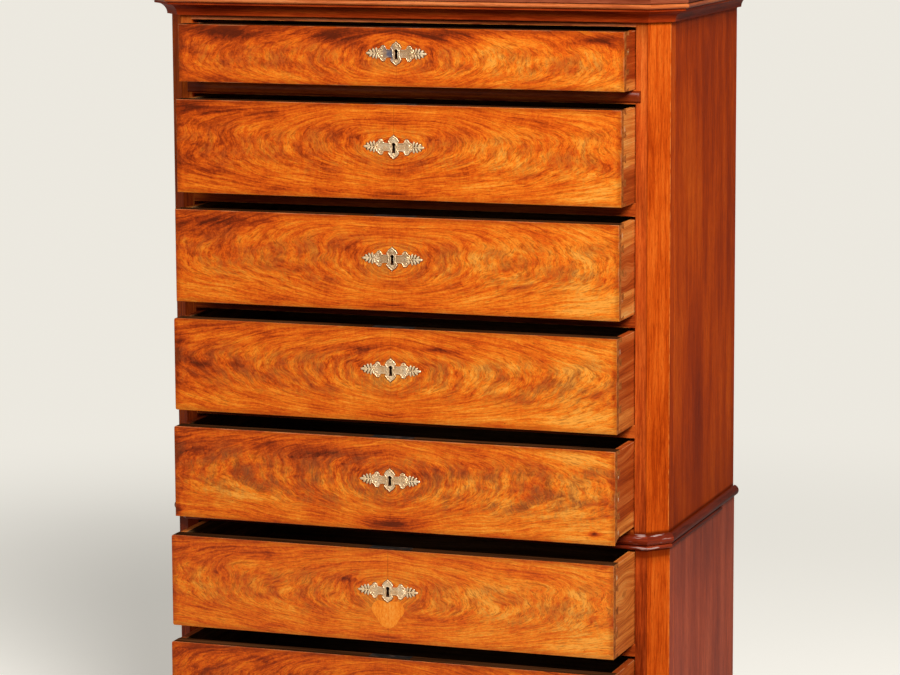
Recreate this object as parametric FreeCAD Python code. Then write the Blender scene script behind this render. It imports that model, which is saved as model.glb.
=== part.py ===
import FreeCAD, Part
import math
import os
from FreeCAD import Vector

# A tall chest of seven drawers in two cases, the upper standing on the lower.
# Millimetres. The floor is z = 0, x = 0 is the middle of the width and y = 0 the middle
# of the case depth. The front looks towards -y.

# Cases and their front posts
case_width = 900.0            # upper case, over its sides
case_depth = 464.0            # front plane to the back edge of the sides
lower_case_extra = 2.0        # the lower case is wider by this on each side
post_width = 51.0
post_depth = 60.0
cant_width = 31.0
cant_depth = 33.0
side_thickness = 20.0
side_tongue_length = 8.0
side_tongue_thickness = 8.0
back_thickness = 10.0
back_rebate = 10.0
back_board_count = 5
back_board_gap = 0.8
case_board_thickness = 14.0

# Rails between the drawers
rail_thickness = 22.5
frieze_rail_thickness = 24.0
lower_top_rail_thickness = 13.5
top_rail_show = 8.0           # what shows of the top rail below the cornice
tenon_length = 25.0
tenon_thickness = 9.0
tenon_shoulder = 10.0

# Runners inside the cases
runner_bearing = 24.0         # how far a runner reaches in under its drawer
guide_height = 18.0

# Mouldings
cavetto_radius = 19.0
cornice_soffit = 7.5
cornice_fillet = 1.5
ovolo_radius = 5.5
top_thickness = 22.0
top_nosing = 0.5              # the top slab stands this far past the moulding
frieze_bead_height = 20.0
frieze_bead_proud = 7.0
frieze_bead_lap = 8.5         # how far its ends run over the posts
waist_bead_height = 26.0
waist_bead_proud = 8.0
waist_bead_rise = 11.5        # how far the waist bead stands above the joint of the cases
plinth_height = 86.0
plinth_proud = 13.0
plinth_cove_radius = 10.0
plinth_thickness = 22.0       # behind the face of the lower case

# Drawers
small_front_height = 98.5     # the top drawer
front_height = 160.0
waist_front_height = 159.0    # the drawer above the waist
front_thickness = 28.0
waist_lip_drop = 11.0         # how far that front hangs over the rounded rail
drawer_side_thickness = 12.0
drawer_back_thickness = 12.0
drawer_bottom_thickness = 8.0
bottom_groove_rise = 8.0
side_groove_depth = 5.0
front_groove_depth = 6.0
side_top_drop = 2.0
back_top_drop = 6.0
lap_thickness = 13.0          # wood left in front of the half-blind dovetails
tail_pitch = 38.0
back_pin_pitch = 45.0
drawer_pulls = [62.0, 77.0, 88.5, 100.0, 108.0, 122.0, 129.0]   # each drawer stands open by this

# Fits
front_gap_below = 1.0
front_gap_above = 4.0
drawer_side_gap = 2.0
run_gap = 0.3
shut_gap = 2.0
bolt_gap = 0.3
overrun = 5.0                 # cuts start this far outside the wood

# Locks and keyhole plates
key_drop = 71.0               # keyhole below the top of a front
small_key_drop = 43.0
keyhole_height = 16.0
keyhole_radius = 4.0
keyhole_slot_width = 4.4
key_pin_radius = 1.5
lock_width = 62.0
lock_thickness = 11.0
lock_below_key = 18.0
key_depth = 7.0
selvedge_width = 74.0
selvedge_depth = 20.0
selvedge_thickness = 2.0
bolt_width = 20.0
bolt_thickness = 4.5
bolt_length = 30.0
bolt_set = 3.0                # bolt behind the lock's front plate
bolt_travel = 10.0
strike_spare = 3.0            # depth left over in the rail above when the bolt is up
plate_width = 106.0
plate_height = 40.0
plate_thickness = 1.6

# Shares of the sizes above
tail_end_share = 0.80
tail_root_share = 0.62
pin_root_share = 0.34
pin_end_share = 0.20
cartouche_width_share = 0.27
panel_root_share = 0.58
panel_waist_share = 0.34
panel_waist_place_share = 0.22
panel_end_place_share = 0.35
panel_end_share = 0.42
lobe_shares = [(0.30, 0.22, 0.13), (0.30, -0.22, 0.13), (0.40, 0.0, 0.20), (0.385, 0.17, 0.12),
               (0.385, -0.17, 0.12), (0.13, 0.30, 0.11), (0.13, -0.30, 0.11)]
finial_root_share = 0.40
finial_height_share = 0.22

# Worked out: plan
y_front = -case_depth / 2
y_back = case_depth / 2
y_rail_back = y_front + post_depth
y_back_boards = y_back - back_thickness
upper_half = case_width / 2
lower_half = upper_half + lower_case_extra
cornice_reach = cornice_soffit + cavetto_radius + cornice_fillet + ovolo_radius
top_overhang = cornice_reach + top_nosing
moulding_height = cavetto_radius + cornice_fillet + ovolo_radius
strike_depth = bolt_travel - front_gap_above + strike_spare
lip_radius = (front_thickness ** 2 + waist_lip_drop ** 2) / (2 * waist_lip_drop)


def bay_height(front, drop):
    return front_gap_below + front + front_gap_above - drop


# Worked out: levels, from the floor up. A bay's floor is the top of the rail under its drawer.
floor_7 = plinth_height + rail_thickness
rail_6_bottom = floor_7 + bay_height(front_height, 0)
floor_6 = rail_6_bottom + rail_thickness
lower_top_rail_bottom = floor_6 + bay_height(front_height, 0)
seam = lower_top_rail_bottom + lower_top_rail_thickness
floor_5 = seam + rail_thickness
rail_4_bottom = floor_5 + bay_height(waist_front_height, waist_lip_drop)
floor_4 = rail_4_bottom + rail_thickness
rail_3_bottom = floor_4 + bay_height(front_height, 0)
floor_3 = rail_3_bottom + rail_thickness
rail_2_bottom = floor_3 + bay_height(front_height, 0)
floor_2 = rail_2_bottom + rail_thickness
frieze_rail_bottom = floor_2 + bay_height(front_height, 0)
floor_1 = frieze_rail_bottom + frieze_rail_thickness
top_rail_bottom = floor_1 + bay_height(small_front_height, 0)
cornice_bottom = top_rail_bottom + top_rail_show
case_top = cornice_bottom + moulding_height


def box(x0, x1, y0, y1, z0, z1):
    return Part.makeBox(x1 - x0, y1 - y0, z1 - z0, Vector(x0, y0, z0))


def prism(points, direction):
    wire = Part.makePolygon(points + points[:1])
    return Part.Face(wire).extrude(direction)


def face_of(edges):
    return Part.Face(Part.Wire(edges))


def line(a, b):
    return Part.makeLine(a, b)


def arc(a, middle, b):
    return Part.Arc(a, middle, b).toShape()


def mirrored(shape):
    return shape.mirror(Vector(0, 0, 0), Vector(1, 0, 0))


def pair(shape):
    return [shape, mirrored(shape)]


def cut_all(shape, cutters):
    for cutter in cutters:
        shape = shape.cut(cutter)
    return shape


def opening_half(half):
    return half - post_width


# Plan of a case, from the back of its left side round the front to the back of its right side

def case_plan(half):
    strip = half - cant_width
    right = [(strip, y_front), (half, y_front + cant_depth), (half, y_back)]
    left = [(-x, y) for x, y in reversed(right)]
    return [Vector(x, y, 0) for x, y in left + right]


def outward(a, b):
    along = (b - a).normalize()
    return Vector(along.y, -along.x, 0)


def mitres(plan):
    normals = [outward(a, b) for a, b in zip(plan, plan[1:])]
    inner = [(a + b) / (1 + a.dot(b)) for a, b in zip(normals, normals[1:])]
    return normals[:1] + inner + normals[-1:]


def offset_plan(plan, distance):
    return [point + mitre * distance for point, mitre in zip(plan, mitres(plan))]


# One moulding length for each stretch of the plan. The profile has x outward and z up.

def mitred_lengths(plan, profile):
    bounds = profile.BoundBox
    inner = offset_plan(plan, bounds.XMin - overrun)
    outer = offset_plan(plan, bounds.XMax + overrun)
    spare = bounds.XMax + overrun
    drop = Vector(0, 0, bounds.ZMin - overrun)
    rise = Vector(0, 0, bounds.ZLength + overrun + overrun)
    lengths = []
    for i, (a, b) in enumerate(zip(plan, plan[1:])):
        normal = outward(a, b)
        strip = profile.extrude(Vector(0, (b - a).Length + spare + spare, 0))
        strip.translate(Vector(0, -spare, 0))
        turn = FreeCAD.Rotation(Vector(1, 0, 0), normal)
        strip.Placement = FreeCAD.Placement(a, turn).multiply(strip.Placement)
        corners = [inner[i], inner[i + 1], outer[i + 1], outer[i]]
        lengths.append(strip.common(prism([c + drop for c in corners], rise)))
    return lengths


def cornice_profile():
    root = Vector(0, 0, cornice_bottom)
    soffit = root + Vector(cornice_soffit, 0, 0)
    hollow_centre = soffit + Vector(cavetto_radius, 0, 0)
    diagonal = cavetto_radius / math.sqrt(2)
    hollow_top = hollow_centre + Vector(0, 0, cavetto_radius)
    step = hollow_top + Vector(0, 0, cornice_fillet)
    ovolo_root = step + Vector(cornice_fillet, 0, 0)
    ovolo_centre = ovolo_root + Vector(0, 0, ovolo_radius)
    ovolo_diagonal = ovolo_radius / math.sqrt(2)
    ovolo_top = ovolo_centre + Vector(ovolo_radius, 0, 0)
    back_top = root + Vector(0, 0, moulding_height)
    return face_of([
        line(root, soffit),
        arc(soffit, hollow_centre + Vector(-diagonal, 0, diagonal), hollow_top),
        line(hollow_top, step),
        line(step, ovolo_root),
        arc(ovolo_root, ovolo_centre + Vector(ovolo_diagonal, 0, -ovolo_diagonal), ovolo_top),
        line(ovolo_top, back_top),
        line(back_top, root),
    ])


def bead_profile(bottom, height, proud):
    low = Vector(0, 0, bottom)
    nose = Vector(proud, 0, bottom + height / 2)
    high = Vector(0, 0, bottom + height)
    return face_of([arc(low, nose, high), line(high, low)])


def plinth_profile():
    heel = Vector(-plinth_thickness, 0, 0)
    toe = Vector(plinth_proud, 0, 0)
    cove_centre = Vector(plinth_proud, 0, plinth_height)
    diagonal = plinth_cove_radius / math.sqrt(2)
    cove_low = cove_centre - Vector(0, 0, plinth_cove_radius)
    cove_high = cove_centre - Vector(plinth_cove_radius, 0, 0)
    heel_top = heel + Vector(0, 0, plinth_height)
    return face_of([
        line(heel, toe),
        line(toe, cove_low),
        arc(cove_low, cove_centre - Vector(diagonal, 0, diagonal), cove_high),
        line(cove_high, heel_top),
        line(heel_top, heel),
    ])


def make_cornice():
    return mitred_lengths(case_plan(upper_half), cornice_profile())


def make_top_board():
    outline = offset_plan(case_plan(upper_half), top_overhang)
    raised = [point + Vector(0, 0, case_top) for point in outline]
    return [prism(raised, Vector(0, 0, top_thickness))]


# The frieze bead is one length with rounded ends

def make_frieze_bead():
    reach = opening_half(upper_half) + frieze_bead_lap
    bottom = frieze_rail_bottom + (frieze_rail_thickness - frieze_bead_height) / 2
    strip = bead_profile(bottom, frieze_bead_height, frieze_bead_proud).extrude(Vector(0, reach + reach, 0))
    strip.Placement = FreeCAD.Placement(
        Vector(-reach, y_front, 0), FreeCAD.Rotation(Vector(1, 0, 0), Vector(0, -1, 0)))
    nose = reach - frieze_bead_proud
    y_nose = y_front - frieze_bead_proud
    diagonal = frieze_bead_proud / math.sqrt(2)
    right_root = Vector(reach, y_front, 0)
    right_nose = Vector(nose, y_nose, 0)
    left_nose = Vector(-nose, y_nose, 0)
    left_root = Vector(-reach, y_front, 0)
    rounded = face_of([
        line(left_root, right_root),
        arc(right_root, Vector(nose + diagonal, y_front - diagonal, 0), right_nose),
        line(right_nose, left_nose),
        arc(left_nose, Vector(-nose - diagonal, y_front - diagonal, 0), left_root),
    ])
    return strip.common(rounded.extrude(Vector(0, 0, case_top)))


def make_beads():
    waist_bottom = seam + waist_bead_rise - waist_bead_height
    profile = bead_profile(waist_bottom, waist_bead_height, waist_bead_proud)
    return [make_frieze_bead()] + mitred_lengths(case_plan(lower_half), profile)


def make_plinth():
    lengths = mitred_lengths(case_plan(lower_half), plinth_profile())
    inner = lower_half - plinth_thickness
    y_back_rail = y_back - plinth_thickness
    back_rail = box(-inner, inner, y_back_rail, y_back, 0, plinth_height)
    half_bearer = plinth_thickness / 2
    bearer = box(-half_bearer, half_bearer, y_front + plinth_thickness, y_back_rail, 0, plinth_height)
    return lengths + [back_rail, bearer]


# Rails, with a stub tenon at each end and a mortise above each lock bolt

def make_rail(half, bottom, top):
    opening = opening_half(half)
    rail = box(-opening, opening, y_front, y_rail_back, bottom, top)
    reach = opening + tenon_length
    middle = (bottom + top) / 2
    half_tenon = tenon_thickness / 2
    tenon = box(-reach, reach, y_front + tenon_shoulder, y_rail_back - tenon_shoulder,
                middle - half_tenon, middle + half_tenon)
    return rail.fuse(tenon).removeSplitter()


def bolt_depths():
    y_lock = y_front + front_thickness - lock_thickness
    return y_lock + bolt_set, y_lock + bolt_set + bolt_thickness


def strike_mortise(rail_bottom):
    y0, y1 = bolt_depths()
    reach = bolt_width / 2 + bolt_gap
    return box(-reach, reach, y0 - bolt_gap, y1 + bolt_gap,
               rail_bottom - overrun, rail_bottom + strike_depth)


# The curve between the rounded rail and the front that hangs over it

def lip_curve(rail_top):
    low = Vector(0, y_front, rail_top - waist_lip_drop)
    high = Vector(0, y_front + front_thickness, rail_top)
    centre = high - Vector(0, 0, lip_radius)
    half_angle = math.asin(front_thickness / lip_radius) / 2
    middle = centre + Vector(0, -math.sin(half_angle), math.cos(half_angle)) * lip_radius
    return low, middle, high


def lip_cutter(curve, corners, half_length):
    low, middle, high = curve
    outline = [high] + corners + [low]
    edges = [line(a, b) for a, b in zip(outline, outline[1:])]
    cutter = face_of([arc(low, middle, high)] + edges).extrude(Vector(half_length + half_length, 0, 0))
    cutter.translate(Vector(-half_length, 0, 0))
    return cutter


def rail_nose_cutter():
    curve = lip_curve(floor_5)
    low, middle, high = curve
    before = y_front - overrun
    above = high.z + overrun
    corners = [Vector(0, high.y, above), Vector(0, before, above), Vector(0, before, low.z)]
    return lip_cutter(curve, corners, opening_half(upper_half))


def front_lip_cutter(d):
    curve = lip_curve(d["floor"] + front_gap_below)
    low, middle, high = curve
    behind = high.y + overrun
    below = low.z - overrun
    corners = [Vector(0, behind, high.z), Vector(0, behind, below), Vector(0, low.y, below)]
    return lip_cutter(curve, corners, d["half"] + overrun)


def make_rails():
    struck = [
        (upper_half, top_rail_bottom, case_top),
        (upper_half, frieze_rail_bottom, floor_1),
        (upper_half, rail_2_bottom, floor_2),
        (upper_half, rail_3_bottom, floor_3),
        (upper_half, rail_4_bottom, floor_4),
        (lower_half, lower_top_rail_bottom, seam),
        (lower_half, rail_6_bottom, floor_6),
    ]
    rails = [make_rail(*place).cut(strike_mortise(place[1])) for place in struck]
    rails.append(make_rail(upper_half, seam, floor_5).cut(rail_nose_cutter()))
    rails.append(make_rail(lower_half, plinth_height, floor_7))
    return rails


# Posts and sides. Each is made on the right and mirrored to the left.

def side_tongue(half, bottom, top):
    middle = half - side_thickness / 2
    half_tongue = side_tongue_thickness / 2
    return box(middle - half_tongue, middle + half_tongue, y_rail_back - side_tongue_length,
               y_rail_back, bottom, top)


def make_post(half, bottom, top, rails):
    opening = opening_half(half)
    strip = half - cant_width
    outline = [(opening, y_front), (strip, y_front), (half, y_front + cant_depth),
               (half, y_rail_back), (opening, y_rail_back)]
    post = prism([Vector(x, y, bottom) for x, y in outline], Vector(0, 0, top - bottom))
    return cut_all(post, rails + [side_tongue(half, bottom, top)])


def make_posts(rails):
    upper = make_post(upper_half, seam, case_top, rails)
    lower = make_post(lower_half, plinth_height, seam, rails)
    return pair(upper) + pair(lower)


def make_sides(half, bottom, top):
    inner = half - side_thickness
    panel = box(inner, half, y_rail_back, y_back, bottom, top)
    rebate = box(inner - overrun, inner + back_rebate, y_back_boards, y_back + overrun,
                 bottom - overrun, top + overrun)
    panel = panel.cut(rebate).fuse(side_tongue(half, bottom, top))
    return pair(panel.removeSplitter())


def back_boards(half, bottom, top):
    reach = half - side_thickness + back_rebate
    pitch = (reach + reach) / back_board_count
    half_gap = back_board_gap / 2
    boards = []
    for i in range(back_board_count):
        left = -reach + i * pitch
        boards.append(box(left + half_gap, left + pitch - half_gap, y_back_boards, y_back, bottom, top))
    return boards


def make_backs():
    return back_boards(upper_half, seam, case_top) + back_boards(lower_half, plinth_height, seam)


def case_board(half, bottom, top):
    inner = half - side_thickness
    return box(-inner, inner, y_rail_back, y_back_boards, bottom, top)


def make_case_boards():
    return [
        case_board(upper_half, seam, seam + case_board_thickness),
        case_board(lower_half, lower_top_rail_bottom, seam),
        case_board(lower_half, plinth_height, plinth_height + case_board_thickness),
    ]


def runner(half, bottom, top):
    inner = opening_half(half) - runner_bearing
    return pair(box(inner, half - side_thickness, y_rail_back, y_back_boards, bottom, top))


def guide(half, bottom):
    return pair(box(opening_half(half), half - side_thickness, y_rail_back, y_back_boards,
                    bottom, bottom + guide_height))


def make_runners():
    runners = runner(upper_half, top_rail_bottom, case_top)
    runners += runner(upper_half, seam + case_board_thickness, floor_5)
    runners += runner(lower_half, plinth_height + case_board_thickness, floor_7)
    runners += runner(lower_half, rail_6_bottom, floor_6)
    between = [(frieze_rail_bottom, floor_1), (rail_2_bottom, floor_2),
               (rail_3_bottom, floor_3), (rail_4_bottom, floor_4)]
    for bottom, top in between:
        runners += runner(upper_half, bottom, top)
    for floor in [floor_1, floor_2, floor_3, floor_4, floor_5]:
        runners += guide(upper_half, floor)
    for floor in [floor_6, floor_7]:
        runners += guide(lower_half, floor)
    return runners


# Drawers, each made shut and then moved out by its pull

def drawer_sizes(floor, half, height, key, drop):
    bottom = floor + front_gap_below - drop
    return {
        "floor": floor,
        "half": opening_half(half) - drawer_side_gap,
        "bottom": bottom,
        "top": bottom + height,
        "key": bottom + height - key,
        "lipped": drop > 0,
        "side_bottom": floor + run_gap,
        "side_top": bottom + height - side_top_drop,
        "board_bottom": floor + run_gap + bottom_groove_rise,
        "board_top": floor + run_gap + bottom_groove_rise + drawer_bottom_thickness,
    }


y_front_back = y_front + front_thickness
y_drawer_end = y_back_boards - shut_gap
y_drawer_back = y_drawer_end - drawer_back_thickness


# A wedge-shaped tail or pin that runs along x

def wedge(x0, x1, y0, y1, middle, height0, height1):
    points = [
        Vector(x0, y0, middle - height0 / 2),
        Vector(x0, y1, middle - height1 / 2),
        Vector(x0, y1, middle + height1 / 2),
        Vector(x0, y0, middle + height0 / 2),
    ]
    return prism(points, Vector(x1 - x0, 0, 0))


def front_tails(d):
    height = d["side_top"] - d["side_bottom"]
    count = max(round(height / tail_pitch), 1)
    pitch = height / count
    inner = d["half"] - drawer_side_thickness
    tails = []
    for i in range(count):
        middle = d["side_bottom"] + (i + 1 / 2) * pitch
        tails.append(wedge(inner, d["half"], y_front + lap_thickness, y_front_back, middle,
                           pitch * tail_end_share, pitch * tail_root_share))
    return tails


def back_pins(d):
    height = d["side_top"] - back_top_drop - d["board_top"]
    count = max(round(height / back_pin_pitch), 1)
    pitch = height / count
    inner = d["half"] - drawer_side_thickness
    pins = []
    for i in range(count):
        middle = d["board_top"] + (i + 1 / 2) * pitch
        pins.append(wedge(inner, d["half"], y_drawer_back, y_drawer_end, middle,
                          pitch * pin_root_share, pitch * pin_end_share))
    return pins


def keyhole(level, y0, y1):
    round_level = level + keyhole_height / 2 - keyhole_radius
    hole = Part.makeCylinder(keyhole_radius, y1 - y0, Vector(0, y0, round_level), Vector(0, 1, 0))
    half_slot = keyhole_slot_width / 2
    slot = box(-half_slot, half_slot, y0, y1, level - keyhole_height / 2, round_level)
    return hole.fuse(slot)


def lock_block(d):
    y0 = y_front_back - lock_thickness
    half_lock = lock_width / 2
    half_selvedge = selvedge_width / 2
    case = box(-half_lock, half_lock, y0, y_front_back, d["key"] - lock_below_key, d["top"])
    selvedge = box(-half_selvedge, half_selvedge, y_front_back - selvedge_depth, y_front_back,
                   d["top"] - selvedge_thickness, d["top"])
    return case.fuse(selvedge).removeSplitter()


def make_lock(d):
    y_bolt0, y_bolt1 = bolt_depths()
    y_lock = y_front_back - lock_thickness
    reach = bolt_width / 2 + bolt_gap
    slot = box(-reach, reach, y_bolt0 - bolt_gap, y_bolt1 + bolt_gap,
               d["top"] - bolt_length - bolt_gap, d["top"] + overrun)
    key_way = keyhole(d["key"], y_lock, y_lock + key_depth)
    pin_level = d["key"] + keyhole_height / 2 - keyhole_radius
    pin = Part.makeCylinder(key_pin_radius, key_depth, Vector(0, y_lock, pin_level), Vector(0, 1, 0))
    return lock_block(d).cut(slot).cut(key_way.cut(pin))


def make_bolt(d):
    y0, y1 = bolt_depths()
    half_bolt = bolt_width / 2
    return box(-half_bolt, half_bolt, y0, y1, d["top"] - bolt_length, d["top"])


def bottom_board(d):
    reach = d["half"] - drawer_side_thickness + side_groove_depth
    return box(-reach, reach, y_front_back - front_groove_depth, y_drawer_end,
               d["board_bottom"], d["board_top"])


def make_front(d):
    front = box(-d["half"], d["half"], y_front, y_front_back, d["bottom"], d["top"])
    if d["lipped"]:
        front = front.cut(front_lip_cutter(d))
    tails = front_tails(d)
    front = cut_all(front, tails + [mirrored(tail) for tail in tails])
    y_lock = y_front_back - lock_thickness
    return cut_all(front, [bottom_board(d), lock_block(d), keyhole(d["key"], y_front - overrun, y_lock)])


def make_drawer_sides(d):
    side = box(d["half"] - drawer_side_thickness, d["half"], y_front_back, y_drawer_end,
               d["side_bottom"], d["side_top"])
    for tail in front_tails(d):
        side = side.fuse(tail)
    return pair(cut_all(side.removeSplitter(), back_pins(d) + [bottom_board(d)]))


def make_drawer_back(d):
    inner = d["half"] - drawer_side_thickness
    back = box(-inner, inner, y_drawer_back, y_drawer_end, d["board_top"], d["side_top"] - back_top_drop)
    for pin in back_pins(d):
        back = back.fuse(pin).fuse(mirrored(pin))
    return back.removeSplitter()


# The keyhole plate: a pointed cartouche, a waisted panel each side, lobes and leaf-shaped ends

def pointed_oval(x0, z0, x1, z1, swell):
    a = Vector(x0, 0, z0)
    b = Vector(x1, 0, z1)
    middle = (a + b) / 2
    across = (b - a).cross(Vector(0, 1, 0)).normalize() * swell
    return face_of([arc(a, middle + across, b), arc(b, middle - across, a)])


def plate_panel():
    waist_x = plate_width * panel_waist_place_share
    end_x = plate_width * panel_end_place_share
    root_z = plate_height * panel_root_share / 2
    waist_z = plate_height * panel_waist_share / 2
    end_z = plate_height * panel_end_share / 2
    low_root = Vector(0, 0, -root_z)
    high_root = Vector(0, 0, root_z)
    low_end = Vector(end_x, 0, -end_z)
    high_end = Vector(end_x, 0, end_z)
    return face_of([
        arc(low_root, Vector(waist_x, 0, -waist_z), low_end),
        line(low_end, high_end),
        arc(high_end, Vector(waist_x, 0, waist_z), high_root),
        line(high_root, low_root),
    ])


def plate_lobe(x_share, z_share, radius_share):
    centre = Vector(plate_width * x_share, 0, plate_height * z_share)
    return Part.makeCylinder(plate_height * radius_share, plate_thickness, centre, Vector(0, -1, 0))


def make_plate(d):
    thick = Vector(0, -plate_thickness, 0)
    root = plate_width * finial_root_share
    finial = pointed_oval(root, 0, plate_width / 2, 0, plate_height * finial_height_share / 2)
    half = plate_panel().extrude(thick).fuse(finial.extrude(thick))
    for shares in lobe_shares:
        half = half.fuse(plate_lobe(*shares))
    top = plate_height / 2
    cartouche = pointed_oval(0, -top, 0, top, plate_width * cartouche_width_share / 2)
    plate = cartouche.extrude(thick).fuse(half).fuse(mirrored(half)).removeSplitter()
    plate.translate(Vector(0, y_front, d["key"]))
    return plate.cut(keyhole(d["key"], y_front - plate_thickness - overrun, y_front + overrun))


def make_drawer(d):
    return {
        "front": [make_front(d)],
        "sides": make_drawer_sides(d),
        "back": [make_drawer_back(d)],
        "bottom": [bottom_board(d)],
        "escutcheon": [make_plate(d)],
        "lock": [make_lock(d)],
        "lock_bolt": [make_bolt(d)],
    }


def save(name, solids):
    Part.makeCompound(solids).exportStep("parts/" + name + ".step")


def main():
    os.makedirs("parts", exist_ok=True)
    rails = make_rails()
    save("drawer_rails", rails)
    save("corner_posts", make_posts(rails))
    save("upper_side_panels", make_sides(upper_half, seam, case_top))
    save("lower_side_panels", make_sides(lower_half, plinth_height, seam))
    save("drawer_runners", make_runners())
    save("case_boards", make_case_boards())
    save("back_boards", make_backs())
    save("top_board", make_top_board())
    save("cornice", make_cornice())
    save("bead_mouldings", make_beads())
    save("plinth", make_plinth())
    drawers = [
        drawer_sizes(floor_1, upper_half, small_front_height, small_key_drop, 0),
        drawer_sizes(floor_2, upper_half, front_height, key_drop, 0),
        drawer_sizes(floor_3, upper_half, front_height, key_drop, 0),
        drawer_sizes(floor_4, upper_half, front_height, key_drop, 0),
        drawer_sizes(floor_5, upper_half, waist_front_height, key_drop, waist_lip_drop),
        drawer_sizes(floor_6, lower_half, front_height, key_drop, 0),
        drawer_sizes(floor_7, lower_half, front_height, key_drop, 0),
    ]
    for number, (d, pull) in enumerate(zip(drawers, drawer_pulls), start=1):
        for piece, solids in make_drawer(d).items():
            for solid in solids:
                solid.translate(Vector(0, -pull, 0))
            save("drawer_%d_%s" % (number, piece), solids)
    print("overall height", case_top + top_thickness, "seam", seam, "floor_1", floor_1)


main()
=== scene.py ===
import bpy
import bmesh
import math
import random
from mathutils import Matrix, Vector


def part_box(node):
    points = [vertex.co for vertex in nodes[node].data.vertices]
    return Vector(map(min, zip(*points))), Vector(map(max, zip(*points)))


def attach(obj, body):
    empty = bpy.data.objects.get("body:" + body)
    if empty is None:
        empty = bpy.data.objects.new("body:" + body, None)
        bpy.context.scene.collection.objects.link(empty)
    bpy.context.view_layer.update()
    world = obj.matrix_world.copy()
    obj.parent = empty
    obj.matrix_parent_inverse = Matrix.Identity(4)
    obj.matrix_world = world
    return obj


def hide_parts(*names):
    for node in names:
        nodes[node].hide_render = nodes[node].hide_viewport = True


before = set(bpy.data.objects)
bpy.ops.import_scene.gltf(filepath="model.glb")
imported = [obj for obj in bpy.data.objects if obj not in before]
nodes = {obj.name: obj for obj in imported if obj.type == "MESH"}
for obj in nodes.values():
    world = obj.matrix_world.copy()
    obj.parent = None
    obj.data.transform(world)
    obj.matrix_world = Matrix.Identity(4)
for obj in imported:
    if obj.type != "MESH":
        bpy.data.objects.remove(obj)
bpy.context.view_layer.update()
drawerNumbers = range(1, 8)
print("frame loaded:", len(nodes), "nodes")


# Node helpers for the finishes. Each adds its node to the tree of the sockets that it is given.

def isSocket(value):
    return isinstance(value, bpy.types.NodeSocket)


def setSockets(made, sockets):
    for name, value in sockets.items():
        if isSocket(value):
            made.id_data.links.new(value, made.inputs[name])
        else:
            made.inputs[name].default_value = value


def put(kind, sockets, tree=None, **settings):
    if tree is None:
        tree = next(value.id_data for value in sockets.values() if isSocket(value))
    made = tree.nodes.new("ShaderNode" + kind)
    for name, value in settings.items():
        setattr(made, name, value)
    setSockets(made, sockets)
    return made


def maths(operation, a, b=0.0, c=0.0):
    return put("Math", {0: a, 1: b, 2: c}, operation=operation).outputs[0]


def chain(operation, values):
    total = values[0]
    for value in values[1:]:
        total = maths(operation, total, value)
    return total


def addUp(*values):
    return chain("ADD", values)


def times(*values):
    return chain("MULTIPLY", values)


def vector(x, y, z):
    return put("CombineXYZ", {0: x, 1: y, 2: z}).outputs[0]


def split(source):
    return put("SeparateXYZ", {0: source}).outputs


def attribute(tree, name, output="Fac"):
    return put("Attribute", {}, tree, attribute_name=name).outputs[output]


def rawPlace(tree):
    return put("TexCoord", {}, tree).outputs["Object"]


def objectPlace(tree, centre=(0.0, 0.0, 0.0)):
    return put("Mapping", {"Vector": rawPlace(tree), "Location": [-c for c in centre]}).outputs[0]


def blob(place, centre, reach, kind="SPHERICAL"):  # 1 at a centre, falling to 0 at its reach each way
    local = put("Mapping", {"Vector": place, "Location": centre, "Scale": reach},
                vector_type="TEXTURE").outputs[0]
    return put("TexGradient", {"Vector": local}, gradient_type=kind).outputs["Fac"], local


def noise(source, scale, detail=3.0, roughness=0.55, output="Fac"):
    stretched = put("Mapping", {"Vector": source, "Scale": scale}).outputs[0]
    return put("TexNoise", {"Vector": stretched, "Scale": 1.0, "Detail": detail,
                            "Roughness": roughness}).outputs[output]


def around(value, amount):  # a noise value turned into plus and minus amount
    return maths("MULTIPLY_ADD", value, amount, -0.5 * amount)


def step(value, low, high):
    return put("MapRange", {"Value": value, "From Min": low, "From Max": high},
               interpolation_type="SMOOTHSTEP").outputs["Result"]


def crisp(value, amount):  # as around, with the middle of the noise pulled apart
    return around(step(value, 0.34, 0.66), amount)


def paintOver(colour, layers):  # a layer is a mask and a tint, which is a colour or a socket of colours
    for mask, tint in layers:
        over = tint if isSocket(tint) else (*tint, 1.0)
        colour = put("Mix", {0: mask, 6: colour, 7: over}, data_type="RGBA").outputs[2]
    return colour


def ramp(factor, stops):
    made = put("ValToRGB", {"Fac": factor})
    elements = made.color_ramp.elements
    for element, (place, colour) in zip((elements[0], elements[1]), (stops[0], stops[-1])):
        element.position = place
        element.color = (*colour, 1.0)
    for place, colour in stops[1:-1]:
        elements.new(place).color = (*colour, 1.0)
    return made.outputs["Color"]


def newFinish(name):
    material = bpy.data.materials.new(name)
    material.use_nodes = True
    return material, material.node_tree, material.node_tree.nodes["Principled BSDF"]


def applyFinish(shader, bump, sockets):  # bump is its strength, its depth in metres and its height
    strength, depth, height = bump
    normal = put("Bump", {"Strength": strength, "Distance": depth, "Height": height}).outputs["Normal"]
    setSockets(shader, {**sockets, "Normal": normal})


# Straight grained wood. The grain attribute holds along, across and through in metres, and
# wear is 1 on a rubbed arris and -1 on a dark joint line.

throughCase = 10.0  # a reach past both ends of the case
ragged = 0.6  # how far the edge of gathered dirt wanders, as a share of its reach
grainMarks = {"chip": (0.86, 0.60, 0.34), "chipTall": 1.7, "chipDepth": 0.8, "glint": (0.80, 0.62, 0.55),
              "knotDepth": 0.35, "jointDepth": -0.5, "midHeight": 1.2}


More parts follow.
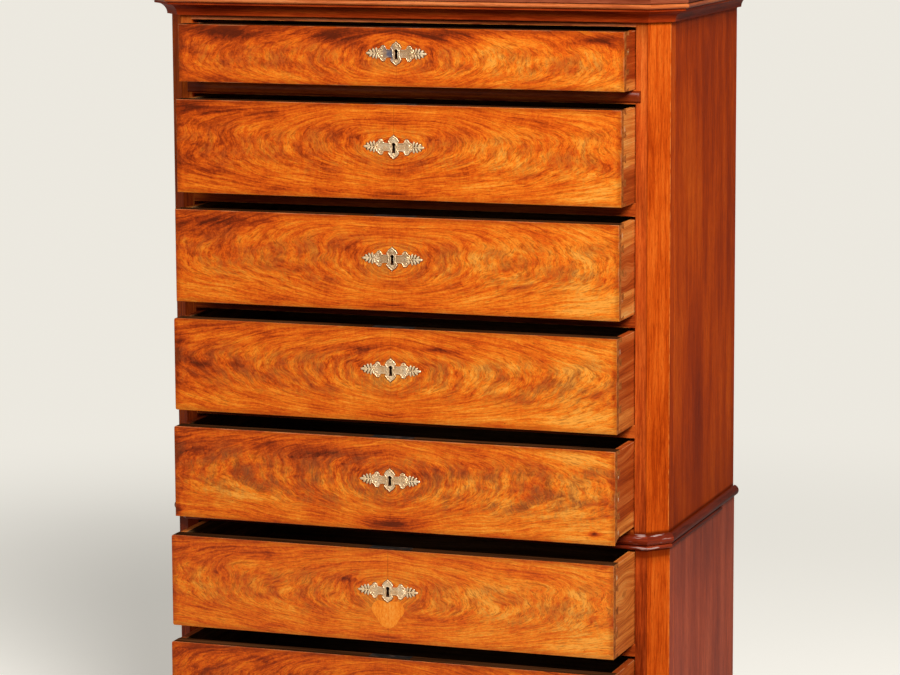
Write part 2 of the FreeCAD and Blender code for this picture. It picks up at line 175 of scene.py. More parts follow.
def straightGrain(name, look):
    material, tree, shader = newFinish(name)
    dark = look["poreColour"]
    grain = attribute(tree, "grain", "Vector")
    shift = around(noise(grain, (1.6, 6.0, 6.0), 2.0), look["sway"])
    knotCore = 0.0
    for knot in look.get("knots", []):
        swirl, core = knotSwirl(tree, *knot)
        shift = addUp(shift, swirl)
        knotCore = addUp(times(core, grainMarks["knotDepth"]), knotCore)
    bent = put("VectorMath", {0: grain, 1: vector(0.0, shift, 0.0)}).outputs[0]
    stripes = noise(bent, (look["stripeRun"], look["stripes"], look["stripes"]), 4.0, 0.62)
    fibres = noise(bent, (look["fibreRun"], 520.0, 520.0), 3.0, 0.7)
    patchy = noise(grain, (3.0, 9.0, 9.0), 3.0)
    pores = noise(bent, (70.0, 1900.0, 1900.0), 2.0)
    rub = step(noise(objectPlace(tree), (55.0, 55.0, 55.0), 3.0), 0.36, 0.60)
    rise = times(split(objectPlace(tree, (0.0, 0.0, grainMarks["midHeight"])))[2], look["rise"])
    # tone: each board's own tone, darker towards the floor on the posts, and painted shade on the side
    # lengths of the mouldings
    board = maths("MULTIPLY_ADD", attribute(tree, "tone"), look["boardDepth"], 0.5)
    depth = addUp(rise, crisp(stripes, look["stripeDepth"]), crisp(fibres, look["fibreDepth"]),
                  around(patchy, look["cloudDepth"]), board)

    layers = []
    if "bands" in look:
        layers.append((stainBands(tree, look["bands"]), ramp(depth, look["stain"])))
    poreMask = times(step(pores, 0.56, 0.70), look["poreDepth"])
    layers.append((poreMask, dark))
    if look.get("knots"):
        layers.append((knotCore, dark))
    for y, z, size in look.get("chips", []):  # pale bruises beside the dovetails
        reach = (throughCase, size, size * grainMarks["chipTall"])
        mark = step(blob(rawPlace(tree), (0.0, y, z), reach)[0], 0.1, 0.6)
        layers.append((times(mark, rub, grainMarks["chipDepth"]), grainMarks["chip"]))
    wear = attribute(tree, "wear")
    layers.append((maths("MAXIMUM", times(wear, rub, look["wearDepth"]), 0.0), look["wearColour"]))
    layers.append((maths("MAXIMUM", times(wear, grainMarks["jointDepth"]), 0.0), dark))
    # glints: pale streaks near the waist corner, painted highlights
    if "glints" in look:
        layers.append((glintMask(tree, *look["glints"]), grainMarks["glint"]))
    # shaded ends: both ends of the frieze bead darkened as painted shade
    if "shadedEnds" in look:
        shadeStart, shadeFull, amount = look["shadedEnds"]
        away = maths("ABSOLUTE", split(objectPlace(tree))[0])
        layers.append((times(step(away, shadeStart, shadeFull), amount), dark))
    for level, reach, full, amount in look.get("shadeAndDirtRows", []):  # painted shade beside the mouldings, with some dirt and old polish
        away = maths("ABSOLUTE", split(objectPlace(tree, (0.0, 0.0, level)))[2])
        dirtAndShade = step(addUp(away, around(patchy, reach * ragged)), reach, reach * full)
        layers.append((times(dirtAndShade, amount), dark))

    roughness = addUp(around(patchy, 0.16), around(fibres, 0.10), look["roughness"])
    height = addUp(times(fibres, 0.6), times(poreMask, -0.7))
    applyFinish(shader, (look["bump"], 0.0006, height), {
        "Base Color": paintOver(ramp(depth, look["stops"]), layers), "Roughness": roughness,
        "Specular IOR Level": look["gloss"]})
    return material


def withDullSides(name, look, share):  # one wood twice: polished in front, less glossy along the sides, where the lower side tone is painted shade
    dull = {**look, "gloss": look["gloss"] * share}
    return straightGrain(name, look), straightGrain(name + "Sides", dull)


def knotSwirl(tree, y, z, wide, tall):  # grain of a drawer side going round a knot
    fade, local = blob(rawPlace(tree), (0.0, y, z), (throughCase, wide, tall))
    return times(fade, split(local)[2], -tall), step(fade, 0.80, 0.92)


def glintMask(tree, centre, reach):  # painted highlights: pale streaks near one corner
    fade = blob(rawPlace(tree), centre, reach)[0]
    marks = noise(objectPlace(tree), (30.0, 30.0, 230.0), 3.0, 0.6)
    return times(step(fade, 0.05, 0.6), step(marks, 0.56, 0.66), 0.55)


def stainBands(tree, bands):  # level bands of redder stain: from, to above the floor, and how strong
    place = objectPlace(tree)
    wander = around(noise(place, (9.0, 9.0, 30.0), 2.0), 0.012)
    height = addUp(split(place)[2], wander)
    soft = 0.001
    total = 0.0
    for low, high, amount in bands:
        inside = times(step(height, low - soft, low + soft), step(height, high + soft, high - soft), amount)
        total = addUp(inside, total)
    return total


mahogany = {
    "sway": 0.016, "stripes": 110.0, "stripeRun": 5.0, "fibreRun": 26.0,
    "stripeDepth": 0.30, "fibreDepth": 0.26, "cloudDepth": 1.1,
    "boardDepth": 0.03, "rise": 0.0, "poreDepth": 0.65, "poreColour": (0.13, 0.012, 0.001), "wearDepth": 0.75,
    "wearColour": (0.95, 0.30, 0.05), "roughness": 0.42, "bump": 0.12, "gloss": 0.02,
    "stops": [(0.0, (0.17, 0.014, 0.001)), (0.35, (0.42, 0.044, 0.0025)),
              (0.55, (0.60, 0.080, 0.0045)), (0.80, (0.74, 0.13, 0.010)), (1.0, (0.84, 0.20, 0.020))],
}
stripMahogany = {
    **mahogany, "boardDepth": 0.16, "rise": 0.16, "cloudDepth": 1.3,
    "stops": [(0.0, (0.14, 0.014, 0.002)), (0.35, (0.36, 0.047, 0.0060)),
              (0.55, (0.52, 0.079, 0.0090)), (0.80, (0.68, 0.13, 0.016)), (1.0, (0.80, 0.20, 0.030))],
}
sideMahogany = {
    **mahogany, "stripes": 34.0, "stripeRun": 2.4, "stripeDepth": 0.26, "fibreDepth": 0.28,
    "cloudDepth": 0.95, "roughness": 0.5, "wearDepth": 0.35, "wearColour": (0.55, 0.12, 0.03),
    "stops": [(0.0, (0.18, 0.014, 0.001)), (0.35, (0.39, 0.038, 0.002)),
              (0.60, (0.57, 0.064, 0.003)), (1.0, (0.80, 0.13, 0.010))],
}
# The lower sides are greyer and bluer than the upper: partly a painted reflection of the pale floor
lowerSideMahogany = {
    **sideMahogany, "boardDepth": 0.0, "gloss": 0.12, "stripeDepth": 0.34, "fibreDepth": 0.30,
    "stops": [(0.0, (0.18, 0.023, 0.009)), (0.35, (0.38, 0.054, 0.021)),
              (0.60, (0.52, 0.086, 0.034)), (1.0, (0.70, 0.15, 0.06))],
}
mouldingMahogany = {
    **mahogany, "stripes": 90.0, "gloss": 0.05, "roughness": 0.34, "boardDepth": 0.12,
    "wearDepth": 0.4, "wearColour": (0.80, 0.27, 0.09),
    "stops": [(0.0, (0.12, 0.010, 0.001)), (0.40, (0.32, 0.028, 0.003)),
              (0.60, (0.46, 0.050, 0.005)), (1.0, (0.66, 0.12, 0.014))],
}
# The slab's edge is darker and browner than the other mahogany: painted shade
slabMahogany = {
    **mouldingMahogany, "wearDepth": 0.25, "boardDepth": 0.24,
    "stops": [(0.0, (0.11, 0.016, 0.005)), (0.40, (0.23, 0.042, 0.014)),
              (0.60, (0.31, 0.064, 0.024)), (1.0, (0.44, 0.12, 0.050))],
}
# The half round is brighter and paler than the cornice: partly a painted highlight
nosingMahogany = {
    **mouldingMahogany, "gloss": 0.30, "boardDepth": 0.20,
    "stops": [(0.0, (0.26, 0.036, 0.006)), (0.40, (0.52, 0.105, 0.020)),
              (0.60, (0.66, 0.165, 0.038)), (1.0, (0.80, 0.28, 0.08))],
}
beadMahogany = {
    **mouldingMahogany, "gloss": 0.20, "roughness": 0.30, "boardDepth": 0.30,
    "glints": ((0.43, -0.225, 0.473), (0.05, 0.05, 0.03)),
    "stops": [(0.0, (0.07, 0.007, 0.001)), (0.40, (0.18, 0.017, 0.004)),
              (0.60, (0.27, 0.030, 0.007)), (1.0, (0.44, 0.070, 0.016))],
}
# The frieze bead is kept light though it lies in the first drawer's shadow: painted light, with its ends
# painted shade
friezeMahogany = {
    **mouldingMahogany, "gloss": 0.12, "roughness": 0.36, "shadedEnds": (0.355, 0.385, 0.9),
    "stops": [(0.0, (0.36, 0.048, 0.006)), (0.40, (0.72, 0.110, 0.013)),
              (0.60, (0.86, 0.17, 0.022)), (1.0, (0.95, 0.30, 0.06))],
}
# Paler, greyer wood for the top rail's front
paleTopRail = {
    **stripMahogany, "gloss": 0.0,
    "stops": [(0.0, (0.20, 0.035, 0.008)), (0.5, (0.42, 0.10, 0.030)), (1.0, (0.62, 0.22, 0.09))],
}
drawerPine = {
    "sway": 0.030, "stripes": 62.0, "stripeRun": 1.6, "fibreRun": 11.0,
    "stripeDepth": 0.54, "fibreDepth": 0.30, "cloudDepth": 0.55, "boardDepth": 0.05, "rise": 0.0,
    "poreDepth": 0.35, "poreColour": (0.16, 0.04, 0.008), "wearDepth": 0.35,
    "wearColour": (0.85, 0.50, 0.22), "roughness": 0.55, "bump": 0.22, "gloss": 0.08,
    "stops": [(0.0, (0.32, 0.058, 0.007)), (0.30, (0.62, 0.14, 0.020)),
              (0.55, (0.84, 0.24, 0.038)), (0.80, (0.92, 0.34, 0.07)), (1.0, (0.96, 0.50, 0.15))],
    "stain": [(0.0, (0.18, 0.018, 0.002)), (0.35, (0.38, 0.045, 0.005)),
              (0.60, (0.52, 0.075, 0.008)), (1.0, (0.70, 0.16, 0.03))],
}
# Inside the drawers the pine is darkened well below the case pine: painted shade
shadedInsidePine = {
    **drawerPine, "boardDepth": 0.10, "gloss": 0.02,
    "stops": [(0.0, (0.11, 0.043, 0.014)), (0.35, (0.21, 0.092, 0.033)),
              (0.60, (0.29, 0.140, 0.055)), (1.0, (0.42, 0.240, 0.110))],
}
casePine = {
    **drawerPine, "boardDepth": 0.26, "roughness": 0.62,
    "stops": [(0.0, (0.15, 0.052, 0.018)), (0.35, (0.31, 0.115, 0.042)),
              (0.60, (0.42, 0.175, 0.068)), (1.0, (0.57, 0.29, 0.13))],
}
frontCore = {
    **drawerPine, "stripes": 110.0,
    "stops": [(0.0, (0.16, 0.035, 0.006)), (0.35, (0.36, 0.085, 0.014)),
              (0.60, (0.50, 0.14, 0.025)), (1.0, (0.68, 0.25, 0.06))],
}
# Near-black top edges of the fronts: painted shade from the drawer above
shadedTopEdge = {
    **frontCore, "wearDepth": 0.2, "gloss": 0.0,
    "stops": [(0.0, (0.014, 0.005, 0.002)), (0.5, (0.055, 0.018, 0.006)), (1.0, (0.16, 0.055, 0.018))],
}
# Near-black walls of the keyholes: painted shade
shadedKeyholeWood = {
    **frontCore,
    "stops": [(0.0, (0.010, 0.005, 0.003)), (0.5, (0.022, 0.010, 0.005)), (1.0, (0.05, 0.02, 0.008))],
}


# Figured veneer, two leaves opened like a book on each front. The figure runs in flat rings
# round an eye at the keyhole, with a mottled band through the middle.

def veneerClouds(place, spots):
    total = 0.0
    for x, z, wide, tall, amount in spots:
        fade = blob(place, (x, 0.0, z), (wide, 1.0, tall), "QUADRATIC_SPHERE")[0]
        total = maths("MULTIPLY_ADD", fade, amount, total)
    return total


def between(share, first, second):
    return put("Mix", {0: share, 2: first, 3: second}).outputs[0]


blunt = 2.6  # 2 gives round rings, more makes their ends squarer
veneerStops = [
    (0.0, (0.11, 0.013, 0.002)), (0.22, (0.34, 0.036, 0.003)), (0.46, (0.71, 0.100, 0.005)),
    (0.66, (0.87, 0.182, 0.009)), (0.85, (0.96, 0.275, 0.020)), (1.0, (0.99, 0.37, 0.045)),
]
veneerTints = {
    "mottle": (0.27, 0.063, 0.015), "hairs": (0.20, 0.022, 0.0012), "pores": (0.22, 0.024, 0.0012),
    "flecks": (0.09, 0.014, 0.001), "grime": (0.24, 0.030, 0.002), "rubbed": (0.70, 0.30, 0.12),
    "seam": (0.14, 0.02, 0.001),
}


def veneer(name, look, box):
    material, tree, shader = newFinish(name)
    low, high = box
    flat = objectPlace(tree, (0.0, low.y, look["eye"]))
    x, _, z = split(flat)
    seam = around(noise(flat, (0.0, 0.0, 22.0), 2.0), 0.003)
    leaf = maths("ABSOLUTE", addUp(x, seam))
    paired = vector(leaf, look["seed"], z)

    # flat rings that open out towards the ends and wander, with growth lines and hairs along them
    slow = split(noise(paired, (3.2, 1.0, 8.0), 2.0, 0.5, "Color"))
    quick = split(noise(paired, (24.0, 1.0, 52.0), 2.0, 0.5, "Color"))
    across = addUp(leaf, around(slow[0], 0.12), around(quick[0], 0.015), look["kink"])
    up = addUp(z, around(slow[2], 0.050), around(quick[2], 0.0045))
    side = maths("DIVIDE", across, maths("MULTIPLY_ADD", leaf, 5.0, look["spread"]))
    powers = [maths("POWER", maths("ABSOLUTE", value), blunt) for value in (up, side)]
    ring = maths("POWER", addUp(*powers), 1 / blunt)
    ringPlace = vector(ring, leaf, z)
    growth = noise(ringPlace, (170.0, 9.0, 18.0), 2.0, 0.5)
    lines = step(maths("ABSOLUTE", maths("SUBTRACT", growth, 0.5)), 0.05, 0.0)
    hairs = noise(ringPlace, (1250.0, 44.0, 80.0), 3.0, 0.6)
    pores = noise(ringPlace, (3600.0, 110.0, 190.0), 2.0, 0.5)

    # mottle through the middle, ripples across the grain, and streaks that run longest near the edges
    blur = around(noise(flat, (11.0, 1.0, 16.0), 3.0), 0.05)
    level = addUp(maths("ABSOLUTE", addUp(z, look["beltDrop"])), blur)
    belt = step(level, look["belt"], look["belt"] * 0.35)
    longBands = noise(ringPlace, (55.0, 2.5, 6.0), 4.0, 0.6)
    bands = between(belt, longBands, noise(ringPlace, (62.0, 8.0, 14.0), 3.0, 0.6))
    longStreaks = noise(ringPlace, (430.0, 9.0, 20.0), 4.0, 0.68)
    streaks = between(belt, longStreaks, noise(ringPlace, (430.0, 26.0, 36.0), 4.0, 0.68))
    strokes = noise(ringPlace, (400.0, 6.0, 16.0), 2.0, 0.6)
    patches = noise(flat, (18.0, 1.0, 34.0), 3.0, 0.6)
    rippled = vector(across, 0.0, up)
    ripple = noise(rippled, (150.0, 1.0, 36.0), 2.0, 0.6)
    fineRipple = noise(rippled, (460.0, 1.0, 70.0), 2.0, 0.6)
    rippling = addUp(around(ripple, 0.6), around(fineRipple, 0.55))
    cloudy = addUp(around(strokes, 0.7), around(ripple, 0.55), patches)
    broken = maths("MULTIPLY_ADD", fineRipple, 2.0, -0.15)  # fine strokes across the mottle
    mottle = times(belt, step(cloudy, 0.36, 0.74), broken, look["mottle"])

    # shimmer: broad pale and dark patches, a painted sheen across the figure
    shimmer = noise(flat, (10.0, 1.0, 30.0), 4.0, 0.6)
    specks = noise(flat, (170.0, 1.0, 330.0), 3.0, 0.65)
    swayed = vector(addUp(x, around(slow[1], 0.08)), 0.0, up)
    # the tone also rises to the right by x times 0.31: a painted gradient of light from the right
    tone = addUp(look["tone"], crisp(bands, 0.24), crisp(streaks, 0.29), times(lines, -0.14),
                 around(shimmer, 0.95), times(rippling, addUp(0.35, times(belt, 0.45))),
                 around(specks, 0.50), times(x, 0.31), veneerClouds(swayed, look["spots"]))
    dark = times(step(hairs, 0.50, 0.68), 0.48)
    spread = put("Mapping", {"Vector": flat, "Scale": (70.0, 0.0, 160.0)}).outputs[0]
    flecks = put("TexVoronoi", {"Vector": spread, "Scale": 1.0}).outputs["Distance"]

    # polish built up dark at the edges, and a rubbed arris
    inset = maths("SUBTRACT", (high.x - low.x) / 2, maths("ABSOLUTE", x))
    inset = maths("MINIMUM", inset, maths("SUBTRACT", high.z - look["eye"], z))
    inset = maths("MINIMUM", inset, maths("SUBTRACT", z, low.z - look["eye"]))
    masks = {
        "mottle": mottle, "hairs": dark, "pores": times(step(pores, 0.54, 0.66), 0.4),
        "flecks": times(step(flecks, 0.13, 0.05), step(patches, 0.50, 0.60), 0.8),
        "grime": times(step(addUp(inset, around(patches, 0.006)), 0.011, 0.0015), 0.42),
        "rubbed": times(attribute(tree, "wear"), step(patches, 0.42, 0.64), 0.4),
        "seam": times(step(leaf, 0.0006, 0.0002), look["seamDepth"]),
    }
    colour = paintOver(ramp(tone, veneerStops), [(mask, veneerTints[key]) for key, mask in masks.items()])
    roughness = addUp(0.36, around(streaks, 0.12), around(shimmer, 0.16))
    height = addUp(times(dark, -0.8), times(streaks, 0.35), times(slow[1], 2.0))
    applyFinish(shader, (0.10, 0.0005, height), {
        "Base Color": colour, "Roughness": roughness, "Specular IOR Level": look["gloss"]})
    return material


# Spots are clouds on a front: x and z from the keyhole, half width, half height, paler or darker
# The last spot on fronts 1 to 4, at x -0.42, darkens the left end: painted shade. Fronts 2 to 6 have higher
# tones than front 1: partly painted light, making up for the lamp's fall-off lower down.
veneerLooks = {
    1: {"seed": 1.3, "tone": 0.552, "gloss": 0.09, "spread": 3.5, "kink": 0.065, "belt": 0.036,
        "beltDrop": 0.012, "mottle": 0.55, "seamDepth": 0.3,
        "spots": [(-0.30, 0.028, 0.16, 0.022, -0.74), (-0.10, 0.032, 0.12, 0.018, -0.53),
                  (0.07, 0.034, 0.10, 0.016, -0.60), (0.35, 0.020, 0.10, 0.020, -0.74),
                  (0.22, -0.002, 0.15, 0.024, 0.26), (0.0, 0.042, 0.46, 0.014, -0.50),
                  (0.12, -0.030, 0.30, 0.020, 0.16), (-0.22, -0.032, 0.24, 0.022, 0.16),
                  (0.38, -0.025, 0.07, 0.05, 0.10),
                  (-0.42, 0.0, 0.06, 0.08, -0.30)]},
    2: {"seed": 4.1, "tone": 0.580, "gloss": 0.08, "spread": 3.4, "kink": 0.045, "belt": 0.052,
        "beltDrop": 0.008, "mottle": 0.50, "seamDepth": 0.45,
        "spots": [(-0.36, 0.058, 0.10, 0.020, -0.49), (-0.36, -0.02, 0.12, 0.06, -0.22),
                  (0.36, -0.012, 0.10, 0.04, -0.19), (0.02, 0.040, 0.16, 0.014, -0.27),
                  (-0.16, 0.004, 0.14, 0.03, 0.17), (0.20, -0.01, 0.14, 0.04, 0.16),
                  (0.0, -0.03, 0.14, 0.02, -0.14), (-0.42, 0.0, 0.06, 0.12, -0.35)]},
    3: {"seed": 7.7, "tone": 0.610, "gloss": 0.11, "spread": 3.3, "kink": 0.045, "belt": 0.056,
        "beltDrop": 0.006, "mottle": 0.60, "seamDepth": 0.2,
        "spots": [(-0.32, -0.045, 0.18, 0.06, 0.23), (0.32, 0.03, 0.16, 0.07, 0.16),
                  (0.34, -0.05, 0.14, 0.05, 0.16), (-0.33, 0.045, 0.14, 0.030, -0.30),
                  (0.0, 0.040, 0.18, 0.018, -0.16),
                  (-0.42, 0.03, 0.05, 0.10, -0.25)]},
    4: {"seed": 10.2, "tone": 0.640, "gloss": 0.12, "spread": 3.4, "kink": 0.080, "belt": 0.054,
        "beltDrop": 0.010, "mottle": 0.68, "seamDepth": 0.3,
        "spots": [(-0.06, 0.036, 0.10, 0.014, -0.62), (0.07, 0.040, 0.11, 0.014, -0.57),
                  (0.0, -0.008, 0.12, 0.05, 0.19), (-0.36, -0.005, 0.14, 0.040, -0.41),
                  (0.35, 0.02, 0.14, 0.06, 0.22), (-0.30, 0.045, 0.12, 0.03, 0.12),
                  (0.30, -0.065, 0.16, 0.03, 0.10), (-0.42, 0.02, 0.05, 0.10, -0.30)]},
    5: {"seed": 13.9, "tone": 0.625, "gloss": 0.16, "spread": 3.4, "kink": 0.080, "belt": 0.066,
        "beltDrop": 0.004, "mottle": 0.85, "seamDepth": 0.35,
        "spots": [(-0.10, 0.036, 0.20, 0.030, -0.60), (0.08, 0.020, 0.16, 0.030, -0.25),
                  (0.0, -0.068, 0.10, 0.020, -0.62), (-0.28, -0.045, 0.18, 0.034, 0.41),
                  (0.33, 0.045, 0.16, 0.034, 0.35), (0.24, -0.045, 0.18, 0.03, 0.19),
                  (-0.38, 0.02, 0.10, 0.05, -0.35), (-0.385, -0.078, 0.022, 0.016, -1.05),
                  (0.37, -0.074, 0.026, 0.012, -0.88)]},
    6: {"seed": 17.5, "tone": 0.662, "gloss": 0.22, "spread": 3.4, "kink": 0.055, "belt": 0.052,
        "beltDrop": 0.010, "mottle": 0.50, "seamDepth": 0.6,
        "spots": [(-0.34, -0.02, 0.14, 0.05, 0.17), (0.26, 0.0, 0.16, 0.05, 0.12),
                  (-0.08, 0.020, 0.03, 0.010, -0.41), (0.06, -0.035, 0.05, 0.016, -0.35),
                  (-0.12, 0.045, 0.20, 0.020, -0.16)]},
    7: {"seed": 21.6, "tone": 0.505, "gloss": 0.18, "spread": 3.0, "kink": 0.055, "belt": 0.052,
        "beltDrop": 0.006, "mottle": 0.50, "seamDepth": 0.4,
        "spots": [(-0.30, 0.05, 0.20, 0.03, 0.10), (0.28, 0.04, 0.16, 0.04, 0.14),
                  (0.0, -0.06, 0.12, 0.02, -0.32)]},
}


# Lighter wood let into a front

def patchWood(name):
    material, tree, shader = newFinish(name)
    place = objectPlace(tree)
    fibres = noise(place, (420.0, 60.0, 26.0), 3.0, 0.65)
    blush = noise(place, (38.0, 38.0, 26.0), 3.0)
    flecks = noise(place, (380.0, 60.0, 260.0), 3.0, 0.65)
    tone = addUp(0.5, around(fibres, 0.8), around(flecks, 1.3), around(blush, 1.0))
    colour = ramp(tone, [(0.0, (0.70, 0.11, 0.006)), (0.5, (0.97, 0.260, 0.018)), (1.0, (0.99, 0.40, 0.065))])
    rim = times(attribute(tree, "wear"), 0.5)
    applyFinish(shader, (0.08, 0.0004, fibres), {
        "Base Color": paintOver(colour, [(rim, (0.45, 0.09, 0.008))]),
        "Roughness": maths("MULTIPLY_ADD", blush, 0.2, 0.28), "Specular IOR Level": 0.14})
    return material


# Pressed gilt brass, dirty where the relief is low

def gilt(name):
    material, tree, shader = newFinish(name)
    place = objectPlace(tree)
    mist = noise(place, (90.0, 90.0, 90.0), 4.0)
    grit = noise(place, (900.0, 900.0, 900.0), 3.0)
    dirtAndShade = step(addUp(attribute(tree, "relief"), around(mist, 0.3), around(grit, 0.9)), 0.62, 0.16)
    tarnish = times(attribute(tree, "tarnish"), step(mist, 0.30, 0.62))
    colour = ramp(mist, [(0.3, (0.90, 0.58, 0.29)), (0.5, (0.96, 0.69, 0.40)), (0.7, (0.99, 0.79, 0.53))])
    applyFinish(shader, (0.18, 0.0003, grit), {
        "Base Color": paintOver(colour, [(times(dirtAndShade, 0.82), (0.20, 0.080, 0.022)),
                                         (tarnish, (0.16, 0.15, 0.19))]),
        "Metallic": maths("MULTIPLY_ADD", dirtAndShade, -0.55, 0.60),
        "Roughness": addUp(0.32, times(dirtAndShade, 0.4), around(grit, 0.25)), "Specular IOR Level": 0.2})
    return material


# dark crumbly polish for the sheet round the plates, partly painted shadow
def shadowAndOldPolish(name):
    material, tree, shader = newFinish(name)
    crumbs = noise(objectPlace(tree), (420.0, 420.0, 420.0), 4.0, 0.65)
    colour = ramp(crumbs, [(0.3, (0.020, 0.007, 0.003)), (0.55, (0.06, 0.018, 0.006)),
                           (0.75, (0.18, 0.045, 0.010))])
    applyFinish(shader, (0.3, 0.0003, crumbs), {
        "Base Color": colour, "Roughness": 0.6, "Specular IOR Level": 0.1})
    return material


def rustyIron(name):
    material, tree, shader = newFinish(name)
    place = objectPlace(tree)
    blotch = noise(place, (60.0, 60.0, 60.0), 5.0, 0.65)
    pits = noise(place, (700.0, 700.0, 700.0), 3.0)
    rust = step(addUp(blotch, around(pits, 0.3)), 0.50, 0.66)
    colour = ramp(blotch, [(0.3, (0.028, 0.022, 0.018)), (0.7, (0.075, 0.058, 0.046))])
    applyFinish(shader, (0.25, 0.0004, pits), {
        "Base Color": paintOver(colour, [(times(rust, 0.8), (0.085, 0.030, 0.011))]),
        "Metallic": maths("MULTIPLY_ADD", rust, -0.6, 0.7),
        "Roughness": maths("MULTIPLY_ADD", rust, 0.25, 0.55)})
    return material


# Rows of darkening beside the mouldings, painted shade with some dirt and old polish: level, how far it
# reaches, the share of that at full strength, and how strong
atWaist = {"shadeAndDirtRows": [(0.462, 0.034, 0.0, 0.80), (0.462, 0.019, 0.75, 0.55), (0.487, 0.006, 0.0, 0.90)],
           "glints": ((0.42, -0.225, 0.4875), (0.06, 0.06, 0.006))}
underCornice = {**atWaist, "shadeAndDirtRows": atWaist["shadeAndDirtRows"] + [(1.348, 0.045, 0.0, 0.55)]}
aboveWaist = {"shadeAndDirtRows": [(0.487, 0.20, 0.0, 0.35), (0.487, 0.006, 0.0, 0.90)]}
belowWaist = {"shadeAndDirtRows": [(0.475, 0.15, 0.0, 0.30)]}
postFinish = straightGrain("postMahogany", {**mahogany, **atWaist})
stripFinish = straightGrain("stripMahogany", {**stripMahogany, **underCornice})
slabFinish, slabSideFinish = withDullSides("slabMahogany", slabMahogany, 0.4)
nosingFinish, nosingSideFinish = withDullSides("nosingMahogany", nosingMahogany, 0.3)
paleTopRailFinish = straightGrain("paleTopRail", paleTopRail)
shadedKeyholeFinish = straightGrain("shadedKeyholeWood", shadedKeyholeWood)
shadedTopEdgeFinish = straightGrain("shadedTopEdge", shadedTopEdge)
upperSideFinish = straightGrain("upperSideMahogany", {**sideMahogany, **aboveWaist})
lowerSideFinish = straightGrain("lowerSideMahogany", {**lowerSideMahogany, **belowWaist})
mouldingFinish, mouldingSideFinish = withDullSides("mouldingMahogany", mouldingMahogany, 0.3)
beadFinish, beadSideFinish = withDullSides("beadMahogany", beadMahogany, 0.1)
friezeFinish = straightGrain("friezeMahogany", friezeMahogany)
shadedInsideFinish = straightGrain("shadedInsidePine", shadedInsidePine)
caseFinish = straightGrain("casePine", casePine)
coreFinish = straightGrain("frontCore", frontCore)
patchFinish = patchWood("patchWood")
giltFinish = gilt("giltBrass")
shadowAndGrimeFinish = shadowAndOldPolish("shadowAndOldPolish")
ironFinish = rustyIron("lockIron")
print("finishes made")


# Mesh helpers

grainAxes = {"x": (0, 2, 1), "y": (1, 2, 0), "z": (2, 0, 1)}
flush = 1e-6  # points nearer than this are in one place
nearly = 1e-4  # and nearer than this on one face
flatAngle = math.radians(0.5)
arrisAngle = math.radians(25)
facing = 0.9  # a face with this much of its normal one way looks that way


def copyNode(nodeName):
    bm = bmesh.new()
    bm.from_mesh(nodes[nodeName].data)
    bmesh.ops.remove_doubles(bm, verts=bm.verts, dist=flush)
    bmesh.ops.dissolve_limit(bm, angle_limit=flatAngle, verts=bm.verts, edges=bm.edges)
    bm.faces.layers.float.new("wear")
    return bm


def looseParts(bm):
    seen = set()
    parts = []
    for start in bm.verts:
        if start in seen:
            continue
        seen.add(start)
        part, waiting = [], [start]
        while waiting:
            vert = waiting.pop()
            part.append(vert)
            for edge in vert.link_edges:
                other = edge.other_vert(vert)
                if other not in seen:
                    seen.add(other)
                    waiting.append(other)
        parts.append(part)
    return parts


def layGrain(bm, along, seed):  # each board gets its own stretch of timber
    grain = bm.verts.layers.float_vector.new("grain")
    tone = bm.verts.layers.float.new("tone")
    dice = random.Random(seed)
    for part in looseParts(bm):
        shift = Vector((dice.uniform(0, 5), dice.uniform(0, 5), dice.uniform(0, 5)))
        boardTone = dice.uniform(-1, 1)
        for vert in part:
            vert[grain] = shift + Vector([vert.co[axis] for axis in grainAxes[along]])
            vert[tone] = boardTone


def sharpEdges(bm, shortest, test=None):
    found = []
    for edge in bm.edges:
        if len(edge.link_faces) != 2 or edge.calc_length() < shortest or not edge.is_convex:
            continue
        if edge.calc_face_angle() > arrisAngle and (test is None or test(edge)):
            found.append(edge)
    return found


def bevelEdges(bm, edges, width, segments=2):
    return bmesh.ops.bevel(bm, geom=edges, offset=width, offset_type="OFFSET", affect="EDGES",
                           segments=segments, profile=0.5, material=-1, clamp_overlap=True)["faces"]


def roundEdges(bm, edges, width, segments=2):
    wear = bm.faces.layers.float["wear"]
    for face in bevelEdges(bm, edges, width, segments):
        face[wear] = 1.0


def raiseFaces(bm, faces, move):  # extrudes faces by a move and returns all that is new
    made = bmesh.ops.extrude_face_region(bm, geom=faces)["geom"]
    verts = [item for item in made if isinstance(item, bmesh.types.BMVert)]
    bmesh.ops.translate(bm, vec=move, verts=verts)
    return made, verts


def sealed(bm):
    bmesh.ops.recalc_face_normals(bm, faces=bm.faces)
    return bm


def finishPiece(bm, name, body, finishes, replaced=(), smoothAngle=None):
    mesh = bpy.data.meshes.new(name)
    bm.to_mesh(mesh)
    bm.free()
    for finish in finishes:
        mesh.materials.append(finish)
    if smoothAngle:
        mesh.shade_smooth()
        mesh.set_sharp_from_angle(angle=math.radians(smoothAngle))
    piece = bpy.data.objects.new(name, mesh)
    bpy.context.scene.collection.objects.link(piece)
    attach(piece, body)
    if replaced:
        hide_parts(*replaced)


# Boards of the case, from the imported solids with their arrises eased.
# Each has its name, the way of its grain, its finish and slot, and what differs from boardLook.

